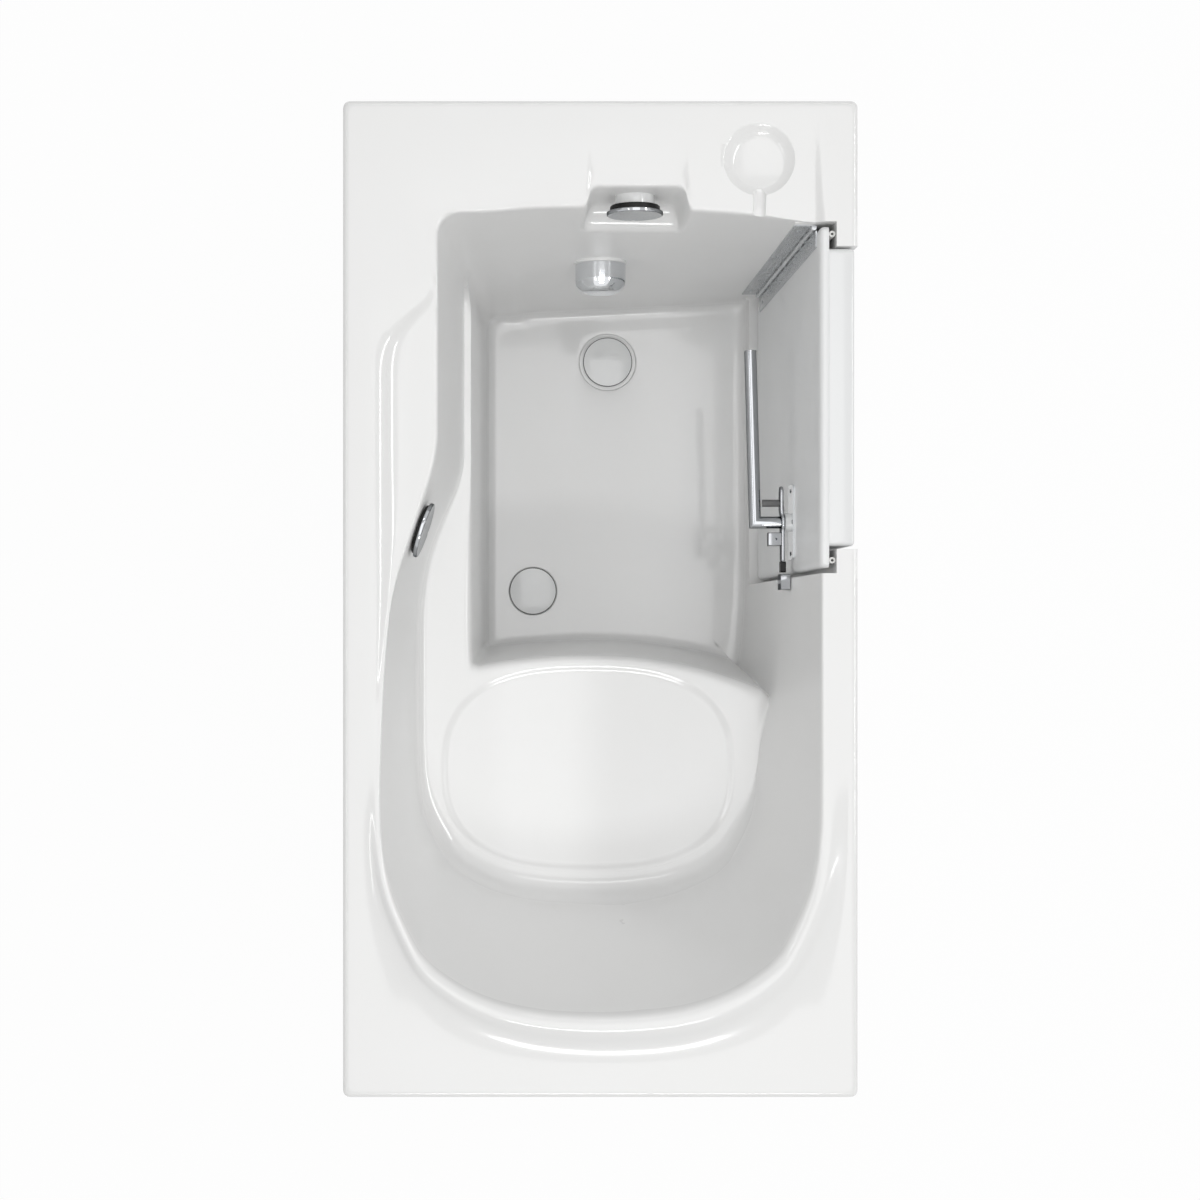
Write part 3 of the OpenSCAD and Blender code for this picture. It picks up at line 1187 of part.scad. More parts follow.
// Domed hood, closed in front, open below for the water
module inlet_hood() {
    color(chrome) on_foot_wall() translate([0, 0, hood_off]) difference() {
        dome(hood_r, hood_out - hood_off);
        translate([0, 0, -1]) dome(hood_r - hood_wall, hood_out - hood_off - hood_wall + 1);
        translate([-hood_r / 2, -hood_r - 1, hood_wall]) cube([hood_r, 16, hood_out / 2]);
    }
}
module dome(r, h) {
    rotate_extrude($fn = 72) intersection() {
        union() {
            square([r, h - r * 0.55]);
            translate([r * 0.45, h - r * 0.55]) circle(r = r * 0.55);
            square([r * 0.45, h]);
        }
        square([r, h]);
    }
}
inlet_nut_l = 6;
elbow_hub_r = tail_r + 3;
elbow_hub_l = 18;
tail_back = pad_out + inlet_nut_l + 1.5 + elbow_hub_r;
tail_l = 50;
module inlet_elbow() {
    color("goldenrod") on_foot_wall() {
        difference() {
            union() {
                translate([0, 0, -tail_back]) cylinder(h = tail_back + hood_off + 8, r = tail_r);
                translate([0, -elbow_hub_l, -tail_back]) rotate([-90, 0, 0])
                    cylinder(h = elbow_hub_l + elbow_hub_r, r = elbow_hub_r);
                translate([0, -tail_l, -tail_back]) rotate([-90, 0, 0]) cylinder(h = tail_l, r = tail_r);
            }
            translate([0, 0, -tail_back - 2]) cylinder(h = 100, r = tail_r - 3);
            translate([0, -tail_l - 1, -tail_back]) rotate([-90, 0, 0])
                cylinder(h = tail_l + 1, r = tail_r - 3);
        }
        difference() {
            translate([0, 0, inlet_pad]) cylinder(h = 3, r = 22);
            cylinder(h = 10, r = tail_r - 3);
        }
    }
}
module inlet_nut() {
    color("goldenrod") on_foot_wall() translate([0, 0, -pad_out - 0.2 - inlet_nut_l]) difference() {
        linear_extrude(inlet_nut_l) circle(r = 20, $fn = 6);
        translate([0, 0, -1]) cylinder(h = inlet_nut_l + 2, r = tail_r + run_gap);
    }
}

tub_shell();
apron_panel();
service_panel();
service_panel_screws();
base_rails();
cross_members();
frame_posts();
top_rails();
seat_posts();
seat_bearers();
floor_bearers();
floor_board();
levelling_feet();
foot_lock_nuts();
door_inner_panel();
door_outer_panel();
door_core_frame();
door_seal();
hinge_leaf_tub();
hinge_leaf_door();
hinge_pin();
hinge_screws_tub();
hinge_screws_door();
latch_base_plate();
latch_housing();
latch_screws();
latch_rocker();
hook_tip();
latch_lever();
lever_end_cap();
lever_buffer();
lever_stop_block();
keeper();
keeper_screws();
foot_drain_body();
foot_drain_nut();
foot_drain_shoe();
foot_stopper_cap();
foot_stopper_stem();
foot_knob();
foot_knob_collar();
foot_overflow_elbow();
foot_waste_pipes();
foot_waste_tee();
foot_drain_cable();
side_drain_body();
side_drain_nut();
side_drain_shoe();
side_stopper_cap();
side_stopper_stem();
side_knob();
side_knob_collar();
side_overflow_elbow();
side_waste_pipes();
side_waste_tee();
side_drain_cable();
inlet_hood();
inlet_elbow();
inlet_nut();
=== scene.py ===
"""Looks of the walk-in bathtub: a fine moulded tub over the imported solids, metal, rubber and light."""
import json
import math

import bpy
import numpy as np
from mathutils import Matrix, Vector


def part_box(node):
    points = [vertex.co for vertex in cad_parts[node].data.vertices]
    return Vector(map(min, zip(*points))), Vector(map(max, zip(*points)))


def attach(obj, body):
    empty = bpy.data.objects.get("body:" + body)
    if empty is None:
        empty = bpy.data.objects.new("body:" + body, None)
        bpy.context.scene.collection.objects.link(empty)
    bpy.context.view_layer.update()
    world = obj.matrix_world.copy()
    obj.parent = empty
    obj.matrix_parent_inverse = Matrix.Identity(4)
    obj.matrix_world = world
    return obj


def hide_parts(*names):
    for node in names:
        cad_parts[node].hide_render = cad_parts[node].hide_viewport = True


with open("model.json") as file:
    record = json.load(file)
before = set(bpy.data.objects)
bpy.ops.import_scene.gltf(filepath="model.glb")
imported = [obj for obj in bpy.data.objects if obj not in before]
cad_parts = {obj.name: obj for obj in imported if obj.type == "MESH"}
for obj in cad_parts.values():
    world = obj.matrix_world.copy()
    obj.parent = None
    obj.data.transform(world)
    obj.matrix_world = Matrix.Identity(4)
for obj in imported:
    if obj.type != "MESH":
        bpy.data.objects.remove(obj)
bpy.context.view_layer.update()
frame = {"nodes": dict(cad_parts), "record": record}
scene = bpy.context.scene
nodes = frame["nodes"]
MM = 0.001

# ---- Camera, floor and light -----------------------------------------------------------
# Straight down from 3.4 m above the rim, off the middle, with the frame shifted back over the tub
RIM_H = 0.965
CAM = (-0.184, -0.055, RIM_H + 3.4)
FRAME_W = 1.833
camera = bpy.data.cameras.new("camera")
camera.lens = 36 * 3.4 / FRAME_W
camera.shift_x = (-CAM[0] - 0.0008) / FRAME_W
camera.shift_y = (-CAM[1] - 0.0015) / FRAME_W
camera.clip_end = 50
camera_object = bpy.data.objects.new("camera", camera)
camera_object.location = CAM
scene.collection.objects.link(camera_object)
scene.camera = camera_object
scene.view_settings.view_transform = "Standard"


def linear(text):
    """sRGB hex to linear RGBA."""
    c = np.array([int(text[i:i + 2], 16) for i in (1, 3, 5)]) / 255
    c = np.where(c <= 0.04045, c / 12.92, ((c + 0.055) / 1.055) ** 2.4)
    return (*c.tolist(), 1.0)


def add(tree, kind, settings=None, values=None, links=None):
    """Adds a node, sets its properties and socket values, and links other nodes' outputs to it."""
    n = tree.nodes.new(kind)
    for k, v in (settings or {}).items():
        setattr(n, k, v)
    for k, v in (values or {}).items():
        n.inputs[k].default_value = v
    for k, v in (links or {}).items():
        tree.links.new(v, n.inputs[k])
    return n


def area(name, place, aim, size, power, colour="#ffffff"):
    """A rectangular lamp at a place, turned to face its aim."""
    lamp = bpy.data.lights.new(name, "AREA")
    lamp.shape, (lamp.size, lamp.size_y) = "RECTANGLE", size
    lamp.energy, lamp.color = power, linear(colour)[:3]
    o = bpy.data.objects.new(name, lamp)
    o.location = place
    back = np.array(place) - np.array(aim)
    back = back / np.linalg.norm(back)
    o.rotation_euler = (math.acos(back[2]), 0, math.atan2(back[0], -back[1]))
    scene.collection.objects.link(o)
    return o


def seen_straight(tree):
    """1 where a camera, mirror or glass ray arrives, 0 for light that bounces about."""
    path = add(tree, "ShaderNodeLightPath")
    term = path.outputs["Is Camera Ray"]
    for kind in ("Is Glossy Ray", "Is Transmission Ray"):
        most = add(tree, "ShaderNodeMath", {"operation": "MAXIMUM"}, links={0: term, 1: path.outputs[kind]})
        term = most.outputs[0]
    return term


# A broad soft light above reaches the bottom, and four long, narrow ones draw lines on the edges
area("top_lamp", (0.2, 0.05, 4.7), (0.2, 0.05, 0), (2.0, 3.6), 24)
area("key_lamp", (3.4, 0.5, 4.6), (0, 0.1, 0.6), (2.6, 0.5), 37)
area("left_lamp", (-1.9, -0.1, 4.4), (0, 0, 0.5), (1.9, 0.3), 7)
area("rear_lamp", (0.2, -2.3, 3.8), (0, 0, 0.4), (1.3, 0.35), 15)
area("foot_lamp", (0.1, 2.5, 3.6), (0, 0, 0.5), (1.3, 0.3), 4)

world = bpy.data.worlds.new("studio")
scene.world = world
world.use_nodes = True
t = world.node_tree
t.nodes.clear()
direct = seen_straight(t)
soft = add(t, "ShaderNodeBackground", values={"Color": linear("#fbfbfa"), "Strength": 0.47})
white = add(t, "ShaderNodeBackground", values={"Color": linear("#ffffff"), "Strength": 1.0})
mix = add(t, "ShaderNodeMixShader", links={0: direct, 1: soft.outputs[0], 2: white.outputs[0]})
add(t, "ShaderNodeOutputWorld", links={"Surface": mix.outputs[0]})

bpy.ops.mesh.primitive_plane_add(size=14, location=(0, 0, 0))
floor = bpy.context.object
floor.name = "studio_floor"
m = bpy.data.materials.new("matte_white_floor")
m.use_nodes = True
t = m.node_tree
t.nodes.clear()
most = add(t, "ShaderNodeMath", {"operation": "MULTIPLY"}, {1: 0.96}, {0: seen_straight(t)})
paint = add(t, "ShaderNodeBsdfDiffuse", values={"Color": linear("#f4f4f4")})
glow = add(t, "ShaderNodeEmission", values={"Color": linear("#ffffff"), "Strength": 1.0})
mix = add(t, "ShaderNodeMixShader", links={0: most.outputs[0], 1: paint.outputs[0], 2: glow.outputs[0]})
add(t, "ShaderNodeOutputMaterial", links={"Surface": mix.outputs[0]})
floor.data.materials.append(m)

# ---- Materials -----------------------------------------------------------------------


def finish(name, colour, colour_2, metallic, roughness, spread, grain_mm, stretch=(1, 1, 1),
           bump=0.0, bump_mm=1.0, coat=0.0, film=0.04, ior=1.5, dull=0.0, extra=None):
    """A surface whose colour wanders between two close tones and whose roughness and relief follow
    a noise of a real size in millimetres, stretched along a grain. Upright faces, which are rubbed
    down as the moulding leaves its mould, may be duller by a share."""
    m = bpy.data.materials.new(name)
    m.use_nodes = True
    t = m.node_tree
    t.nodes.clear()
    place = add(t, "ShaderNodeTexCoord")
    grain = add(t, "ShaderNodeMapping", values={"Scale": stretch}, links={"Vector": place.outputs["Object"]})
    cloud = add(t, "ShaderNodeTexNoise", values={"Scale": 1000 / grain_mm, "Detail": 4.0},
                links={"Vector": grain.outputs[0]})
    tone = add(t, "ShaderNodeMix", {"data_type": "RGBA"}, {6: linear(colour), 7: linear(colour_2)},
               {0: cloud.outputs["Fac"]})
    rough = add(t, "ShaderNodeMapRange", values={"From Min": 0.3, "From Max": 0.7,
                "To Min": roughness - spread, "To Max": roughness + spread},
                links={0: cloud.outputs["Fac"]})
    surface = add(t, "ShaderNodeBsdfPrincipled", values={"Metallic": metallic, "Coat Weight": coat,
                  "Coat Roughness": film},
                  links={"Base Color": tone.outputs[2], "Roughness": rough.outputs[0]})
    if not metallic:
        surface.inputs["IOR"].default_value = ior
    for k, v in (extra or {}).items():
        surface.inputs[k].default_value = v
    if dull:
        axes = add(t, "ShaderNodeSeparateXYZ", links={0: place.outputs["Normal"]})
        tilt = add(t, "ShaderNodeMath", {"operation": "ABSOLUTE"}, links={0: axes.outputs[2]})
        level = add(t, "ShaderNodeMapRange", values={"From Min": 0.1, "From Max": 0.5, "To Min": dull,
                    "To Max": 0.0}, links={0: tilt.outputs[0]})
        total = add(t, "ShaderNodeMath", {"operation": "ADD"},
                    links={0: rough.outputs[0], 1: level.outputs[0]})
        t.links.new(total.outputs[0], surface.inputs["Roughness"])
        share = add(t, "ShaderNodeMapRange", values={"From Min": 0.1, "From Max": 0.5, "To Min": 0.0,
                    "To Max": coat}, links={0: tilt.outputs[0]})
        t.links.new(share.outputs[0], surface.inputs["Coat Weight"])
    if bump:
        fine = add(t, "ShaderNodeTexNoise", values={"Scale": 1000 / bump_mm, "Detail": 2.0},
                   links={"Vector": grain.outputs[0]})
        relief = add(t, "ShaderNodeBump", values={"Strength": 1.0, "Distance": bump * MM},
                     links={"Height": fine.outputs["Fac"]})
        t.links.new(relief.outputs[0], surface.inputs["Normal"])
    add(t, "ShaderNodeOutputMaterial", links={"Surface": surface.outputs[0]})
    return m


# Gel-coated glass-fibre: a polished film that draws thin lines on the edges, over a softer gloss
gelcoat = finish("white_gelcoat", "#f6f6f6", "#f4f4f3", 0, 0.2, 0.02, 160, coat=1.0, film=0.07, dull=0.22)
# The door is moulded in the same gelcoat, a shade cooler
door_gelcoat = finish("door_gelcoat", "#f4f5f5", "#f1f2f3", 0, 0.2, 0.02, 160, coat=1.0, film=0.07, dull=0.18)
# Thermoformed acrylic sheet with a satin film
acrylic = finish("acrylic_panel", "#e9ebed", "#e5e7ea", 0, 0.28, 0.04, 60, bump=0.02, bump_mm=8, coat=0.15)
# Injection-moulded ABS, very glossy
abs_white = finish("white_abs", "#f8f9f9", "#f4f5f5", 0, 0.1, 0.02, 30, coat=0.6)
# Extruded silicone: a soft sheen, slightly translucent to the eye
silicone = finish("white_silicone", "#eeeeec", "#e4e4e1", 0, 0.42, 0.05, 6, bump=0.02, bump_mm=1.2)
# Polished chrome plate over brass: near mirror with faint polishing haze. Its colour, greyer than bare plate,
# and the dark tint towards its edges are painted dark reflection.
chrome = finish("chrome_plate", "#babcbf", "#b0b2b5", 1, 0.06, 0.02, 18,
                extra={"Specular Tint": linear("#66686b")})
# The same plate on the broad pieces, painted much lighter: a painted reflection of the white room
bright_chrome = finish("bright_chrome_plate", "#e9ebed", "#e1e3e6", 1, 0.1, 0.03, 18)
# Brushed stainless sheet: fine lines up and down, drawn about 0.6 mm apart so that they show
stainless = finish("brushed_stainless", "#c9cbcd", "#b2b5b8", 1, 0.26, 0.07, 6, stretch=(10, 10, 0.4),
                   bump=0.015, bump_mm=6)
# Hot-dip galvanised tube: dull zinc with spangle about 9 mm across
galvanised = finish("galvanised_steel", "#aeb2b6", "#8f959b", 1, 0.42, 0.1, 9, bump=0.01, bump_mm=9)
# Black nitrile rubber, faintly dusty
rubber = finish("black_rubber", "#1b1b1c", "#232324", 0, 0.55, 0.08, 4, bump=0.03, bump_mm=1.0)
# Moulded nylon, black with a dry sheen
nylon = finish("black_nylon", "#202123", "#292a2c", 0, 0.48, 0.06, 5, bump=0.02, bump_mm=0.8)
# Solvent-weld PVC, grey
pvc = finish("grey_pvc", "#7c8084", "#74787c", 0, 0.36, 0.05, 20, bump=0.01, bump_mm=4)
# Turned brass, slightly tarnished
brass = finish("turned_brass", "#c9a35a", "#b0873f", 1, 0.24, 0.08, 5, stretch=(1, 1, 6))
# Birch plywood, long grain about 3 mm wide
plywood = finish("birch_plywood", "#cfae7f", "#b58d5b", 0, 0.6, 0.08, 40, stretch=(0.6, 12, 12), bump=0.05,
                 bump_mm=12)

slot_finish = {"tub_gloss": gelcoat, "apron_white": acrylic, "door_gloss": door_gelcoat,
               "cap_white": abs_white, "seal_white": silicone, "stainless": stainless,
               "frame_steel": galvanised, "board": plywood, "foot_plastic": nylon, "chrome": chrome,
               "black_rubber": rubber, "waste_plastic": pvc, "brass": brass}
for part in frame["record"]["subparts"]:
    o = nodes[part["node"]]
    o.data.materials.clear()
    o.data.materials.append(slot_finish[part["material_slot"]])

# ---- Mesh making ---------------------------------------------------------------------


def mesh_object(name, points, faces, body=None, slot=None, material=None, sharp=35):
    """A mesh of points in millimetres and a list of face arrays, set down in metres."""
    mesh = bpy.data.meshes.new(name)
    faces = [np.asarray(f) for f in faces]
    sizes = np.concatenate([np.full(len(f), f.shape[1]) for f in faces])
    loops = np.concatenate([f.ravel() for f in faces])
    mesh.vertices.add(len(points))
    mesh.vertices.foreach_set("co", (np.asarray(points, float) * MM).ravel())
    mesh.loops.add(len(loops))
    mesh.loops.foreach_set("vertex_index", loops)
    mesh.polygons.add(len(sizes))
    mesh.polygons.foreach_set("loop_start", np.concatenate([[0], np.cumsum(sizes)[:-1]]))
    mesh.polygons.foreach_set("loop_total", sizes)
    mesh.update(calc_edges=True)
    mesh.validate()
    o = bpy.data.objects.new(name, mesh)
    scene.collection.objects.link(o)
    smooth(o, sharp)
    if material:
        mesh.materials.append(material)
    if body:
        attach(o, body)
    return o


def smooth(o, sharp):
    """Smooth shading that breaks at edges sharper than the angle in degrees."""
    o.data.polygons.foreach_set("use_smooth", np.ones(len(o.data.polygons), bool))
    o.data.set_sharp_from_angle(angle=math.radians(sharp))


def grid_faces(rows, cols, start=0):
    """Quads of a grid that closes on itself across its columns."""
    j, i = np.mgrid[0:rows - 1, 0:cols]
    a, b = start + j * cols + i, start + j * cols + (i + 1) % cols
    return np.stack([a, b, b + cols, a + cols], -1).reshape(-1, 4)


def loft(rings):
    """Closed solid through rings of equal length, each an n by 3 array, with a flat cap on both ends.
    Rings run anticlockwise seen from the end of the stack."""
    n = len(rings[0])
    last = (len(rings) - 1) * n
    return np.concatenate(rings), [grid_faces(len(rings), n), np.arange(n)[::-1][None],
                                   (last + np.arange(n))[None]]


def joined(*solids):
    """Several solids' points and faces as one."""
    points, faces, start = [], [], 0
    for p, fs in solids:
        points.append(p)
        faces += [np.asarray(f) + start for f in fs]
        start += len(p)
    return np.concatenate(points), faces


def cut(target, name, solid, operation):
    """Joins a solid to a piece, or takes it away, and keeps the result as the piece's mesh."""
    tool = mesh_object(name, *solid)
    step = target.modifiers.new(name, "BOOLEAN")
    step.operation, step.solver, step.object = operation, "EXACT", tool
    graph = bpy.context.evaluated_depsgraph_get()
    mesh = bpy.data.meshes.new_from_object(target.evaluated_get(graph))
    target.modifiers.clear()
    old, target.data = target.data, mesh
    bpy.data.meshes.remove(old)
    bpy.data.objects.remove(tool)


# ---- Tub -----------------------------------------------------------------------------
# The basin is the source's own net of control points, carried by a quadratic B-spline
HX, HY, H = 393.7, 762.0, 965.0
WALL, SEAT_Z, FLOOR_Z, COVE, CORNER = 8.0, 570.0, 140.0, 60.0, 24.0
LEFT_X, WELL_HW, FOOT_L, FOOT_R, NICHE_X, NICHE_Y = -248.0, 337.0, 592.0, 577.0, 58.0, 631.0
BACK0, BACK_Y, SEAT_HW, SEAT_BACK, SEAT_FRONT = -300.0, -637.0, 290.0, -494.0, -88.0
FAR_X, NEAR_X, FOOT_WELL_X = 230.0, -110.0, -198.0
# Side walls of the foot well at the floor, and the foot wall's bow at the rim
FLOOR_LEFT, FLOOR_RIGHT, BOW = -171.0, 319.0, 14.0
# Radii of the ports behind the fittings, the drain holes and the two stopper caps
PORT_R, DRAIN_R, FOOT_CAP_R, SIDE_CAP_R = 15.5, 26.5, 46.5, 44.5
right_ys = np.array([-150.0, 0, 150, 300, 440])
left_ys = np.array([483.0, 457, 429, 388, 300, 220, 117, 14, -80, -190])
arc = np.radians([0, 8, 20, 38, 43, 48, 60, 75, 90, 105, 120, 132, 137, 142, 160, 172, 180])
niche_xs = np.array([90.0, 78, 71, 42, -42, -71, -78, -90])
niche_in = np.array([0, 0, 1, 1, 1, 1, 0, 0], bool)
N_FOOT, N_LEFT, N = 18, 31, 48


def pts(*pairs):
    """Pairs of numbers or arrays as one list of points."""
    return np.concatenate([np.stack(np.broadcast_arrays(np.atleast_1d(x), np.atleast_1d(y)), -1)
                           for x, y in pairs]).astype(float)


def mixed(a, b, t):
    """The value or point a share t of the way from a to b."""
    return a + (b - a) * t


def col(values):
    """Numbers as a column, to weigh the rows of a ring."""
    return np.asarray(values, float)[:, None]


def length(v):
    """Length of each vector."""
    return np.linalg.norm(v, axis=-1)


def foot_line(x, yl, yr, bow):
    """Foot wall's y at x: a straight line from corner to corner, with a parabola's bow."""
    s = (x - LEFT_X) / (WELL_HW - LEFT_X)
    return mixed(yl, yr, s) + bow * 4 * s * (1 - s)


def ease(v, p):
    """A power that takes nothing below 0."""
    return np.maximum(v, 0) ** p


def arc_line(cx, hw, depth, p, y0):
    """Half superellipse from the left tangent to the right one."""
    return pts((cx - hw * np.sign(np.cos(arc)) * ease(abs(np.cos(arc)), 2 / p),
                y0 - depth * ease(np.sin(arc), 2 / p)))


def rim_outline(d):
    """The rim's rectangle moved in by d, with a control point for each station of the net."""
    x, y, c = HX - d, HY - d, CORNER
    return pts((x, right_ys), (x, y - c), (x, y), (x - c, y), (FAR_X, y), (NICHE_X + niche_xs, y),
               (NEAR_X, y), (c - x, y), (-x, y), (-x, y - c), (-x, left_ys + (left_ys - 14) * 0.35),
               (-x, np.array([-300.0, -400, -520])), (-x, c - y), (-x, -y), (c - x, -y),
               (np.array([-250.0, -125, 0, 125, 250]), -y), (x - c, -y), (x, -y), (x, c - y),
               (x, np.array([-520.0, -400, -300])))


def well_outline(niche_y):
    """Outline of the bath at the rim, with the knob niche cut back to niche_y, or without it at 0."""
    left = np.where(left_ys > 14, np.interp(left_ys, [14, 220], [LEFT_X - 70, LEFT_X]),
                    np.select([left_ys > -80, left_ys > -190], [LEFT_X - 70, LEFT_X - 80], 3 - WELL_HW))
    row = foot_line(NICHE_X + niche_xs, FOOT_L, FOOT_R, BOW)
    return np.concatenate([pts(
        (WELL_HW, right_ys), (WELL_HW, FOOT_R - CORNER), (WELL_HW, FOOT_R), (WELL_HW - CORNER, FOOT_R),
        (FAR_X, foot_line(FAR_X, FOOT_L, FOOT_R, BOW)),
        (NICHE_X + niche_xs, np.where(niche_in, niche_y, row) if niche_y else row),
        (NEAR_X, foot_line(NEAR_X, FOOT_L, FOOT_R, BOW)),
        (LEFT_X + 80, FOOT_L), (LEFT_X, FOOT_L), (LEFT_X, FOOT_L - 80), (left, left_ys)),
        arc_line(0, WELL_HW, BACK0 - BACK_Y, 2.6, BACK0)])


slope_top = LEFT_X + np.array([-12.0, -30, -62] + [-89.0] * 5 + [-93, -101])
slope_foot = LEFT_X + np.array([-6.0, -8, -38, -70, -70, -70, -70, -76, -86, -93])
ledge = np.array([0, 0.4, 0.85, 1, 1, 1, 1, 0.7, 0.3, 0])
well_edge, wall_top, rim = well_outline(NICHE_Y), well_outline(0), rim_outline(0)
roll = arc_line(12, WELL_HW + 31, BACK0 - BACK_Y + 52, 2.6, BACK0)
share_o = np.r_[np.full(N_FOOT, 0.4), np.full(3, 0.6)]
share_i = np.r_[np.full(N_FOOT, 0.7), np.full(3, 0.8)]
deck_outer = np.concatenate([mixed(rim[:21], well_edge[:21], col(share_o)), pts((slope_top, left_ys)), roll])
deck_inner = np.concatenate([mixed(rim[:21], well_edge[:21], col(share_i)), pts((slope_foot, left_ys)),
                             mixed(roll, well_edge[N_LEFT:], 0.5)])
edge_drop = np.r_[np.zeros(7), 1.6, np.full(10, 8.0), 8, 4.8, 0, 20 * ledge, np.zeros(17)]
roll_up = np.r_[np.zeros(N_LEFT), 16.6 * np.minimum(1, 2 * np.sin(arc))]

seat_left = np.interp(left_ys, [74, 220], [-SEAT_HW, FOOT_WELL_X - 15])
SX = WELL_HW - 9
seat_line = np.concatenate([pts(
    (WELL_HW - 21, SEAT_FRONT - 74), (SX, right_ys[1:]), (SX, FOOT_R - CORNER), (SX, FOOT_R),
    (SX - CORNER, FOOT_R), (FAR_X, FOOT_R - 2),
    (NICHE_X + niche_xs, foot_line(NICHE_X + niche_xs, FOOT_L - 19, FOOT_R, 4)), (NEAR_X, FOOT_L - 20),
    (FOOT_WELL_X + 45, FOOT_L - 21), (FOOT_WELL_X - 15, FOOT_L - 21), (FOOT_WELL_X - 15, FOOT_L - 81),
    (seat_left, left_ys - 4)), arc_line(0, SEAT_HW, BACK0 + 40 - SEAT_BACK, 2.6, BACK0 + 40)])
left_shares = np.array([0.066, 0.115, 0.172, 0.246, 0.377, 0.508, 0.639, 0.77, 0.869, 0.944])
rear_shares = np.array([0.015, 0.042, 0.082, 0.11, 0.139, 0.205, 0.3, 0.414, 0.519, 0.633, 0.719, 0.766,
                        0.81, 0.88, 0.92, 0.95])


def lower_outline(xl, xr, yl, yr, mid, left, right):
    """Outline of the foot well at one level."""
    k = np.r_[FAR_X, NICHE_X + niche_xs, NEAR_X]
    k = np.maximum(k, xl + 68)
    s = rear_shares
    rear = np.where(s < 0.414, mixed(mid, left, ((0.414 - s) / 0.414) ** 2),
                    mixed(mid, right, ((s - 0.414) / 0.53) ** 2))
    return pts((xr - 12, right - 18), (xr, right_ys[1:]), (xr, yr - CORNER), (xr, yr), (xr - CORNER, yr),
               (k, foot_line(k, yl, yr, 0)), (xl + 60, yl), (xl, yl), (xl, yl - 60),
               (xl, mixed(yl - 60, left - 12, left_shares)), (xl, left + 8), (mixed(xl, xr, s), rear))


well_lip = lower_outline(FOOT_WELL_X, SX, FOOT_L - 22, FOOT_R, SEAT_FRONT, SEAT_FRONT - 20, SEAT_FRONT - 60)


def floor_outline(d):
    """Outline of the foot well's floor moved in by d."""
    return lower_outline(FLOOR_LEFT + d, FLOOR_RIGHT - d, FOOT_L - 45 - d, FOOT_R - d, SEAT_FRONT + 24 + d,
                         SEAT_FRONT + 10 + d, SEAT_FRONT - 14 + d)


floor_edge = floor_outline(0)
st = np.arange(N)
straight = (st > 0) & (st < N_FOOT + 2)
ledge_w = np.maximum(length(well_lip - seat_line), 1e-6)
has_ledge = (ledge_w > 9) & (st >= N_FOOT + 2)
edge_z = H - edge_drop + 0.5 * roll_up
crest_z = H - np.where(st < 21, 0.4, 1.0) * edge_drop + roll_up
near_edge = mixed(well_edge, deck_inner, col(np.minimum(0.5, 16 / length(well_edge - deck_inner))))
near_edge_z = np.where(st < N_LEFT, H - edge_drop, H + 0.95 * roll_up)
in_niche = np.r_[np.zeros(9, bool), niche_in, np.zeros(N - 17, bool)]


def at(ring, z):
    """A flat outline as a ring at height z."""
    return np.concatenate([ring, col(np.broadcast_to(z, N))], 1)


def on_wall(z):
    """Wall points at height z: down to the floor where straight, elsewhere down to the seat line."""
    z = np.broadcast_to(np.asarray(z, float), N)
    return np.where(col(straight), mixed(wall_top, floor_edge, col((edge_z - z) / (edge_z - FLOOR_Z))),
                    mixed(wall_top, seat_line, col((edge_z - z) / (edge_z - SEAT_Z))))


def niche_back(z):
    """Wall points at height z, with the knob niche's upright back."""
    z = np.broadcast_to(z, N)
    return at(np.where(col(in_niche), np.stack([well_edge[:, 0], np.full(N, NICHE_Y)], 1), on_wall(z)), z)


def level(k, ring):
    """The k-th ring of the seat: over it on its ledge, down the wall where there is none."""
    z = SEAT_Z - np.where(has_ledge, [-90, 0, 0, 0, 0][k], [-60, -30, -8, 12, 24][k])
    return at(np.where(col(straight), on_wall(z), on_wall(z) if ring is None else ring), z)


def lower_wall(z):
    """Wall points below the seat at height z, on straight lines to the floor."""
    return np.where(col(straight), on_wall(z), mixed(well_lip, floor_edge, (SEAT_Z - z) / (SEAT_Z - FLOOR_Z)))


NZ = H - 162
inner_net = [at(rim, H - 40), at(rim, H - 16), at(rim, H), at(rim_outline(16), H), at(deck_outer, H),
             at(deck_inner, crest_z), at(near_edge, near_edge_z), at(well_edge, edge_z),
             niche_back(edge_z - 24), niche_back(NZ + 36), niche_back(NZ + 12), at(on_wall(NZ), NZ),
             at(on_wall(NZ - 28), NZ - 28), level(0, None), level(1, on_wall(SEAT_Z)),
             level(2, mixed(seat_line, well_lip, col(np.minimum(0.33, 90 / ledge_w)))),
             level(3, mixed(seat_line, well_lip, col(1 - np.minimum(0.33, 40 / ledge_w)))),
             level(4, well_lip),
             at(lower_wall(SEAT_Z - 40), SEAT_Z - 40), at(lower_wall(FLOOR_Z + COVE), FLOOR_Z + COVE),
             at(floor_edge, FLOOR_Z), at(floor_outline(40), FLOOR_Z)]
back_offsets = [(0, -WALL, 0), (2, -WALL, WALL), (4, 3, WALL + 1), (5, 6, WALL + 1), (7, WALL, WALL + 2),
                (9, WALL, 0), (10, WALL, WALL), (11, WALL + 1, WALL + 2), (13, WALL, 0), (14, WALL, WALL),
                (17, WALL + 2, WALL + 2), (19, WALL, 0), (20, WALL, WALL), (21, 0, WALL)]


def grown(ring, g):
    """The ring moved outwards by g along each point's normal."""
    d = np.roll(ring, -1, 0) - np.roll(ring, 1, 0)
    return ring + g * np.stack([d[:, 1], -d[:, 0]], 1) / col(length(d))


outer_net = [np.concatenate([grown(inner_net[r][:, :2], g), inner_net[r][:, 2:] - z], 1)
             for r, g, z in back_offsets]


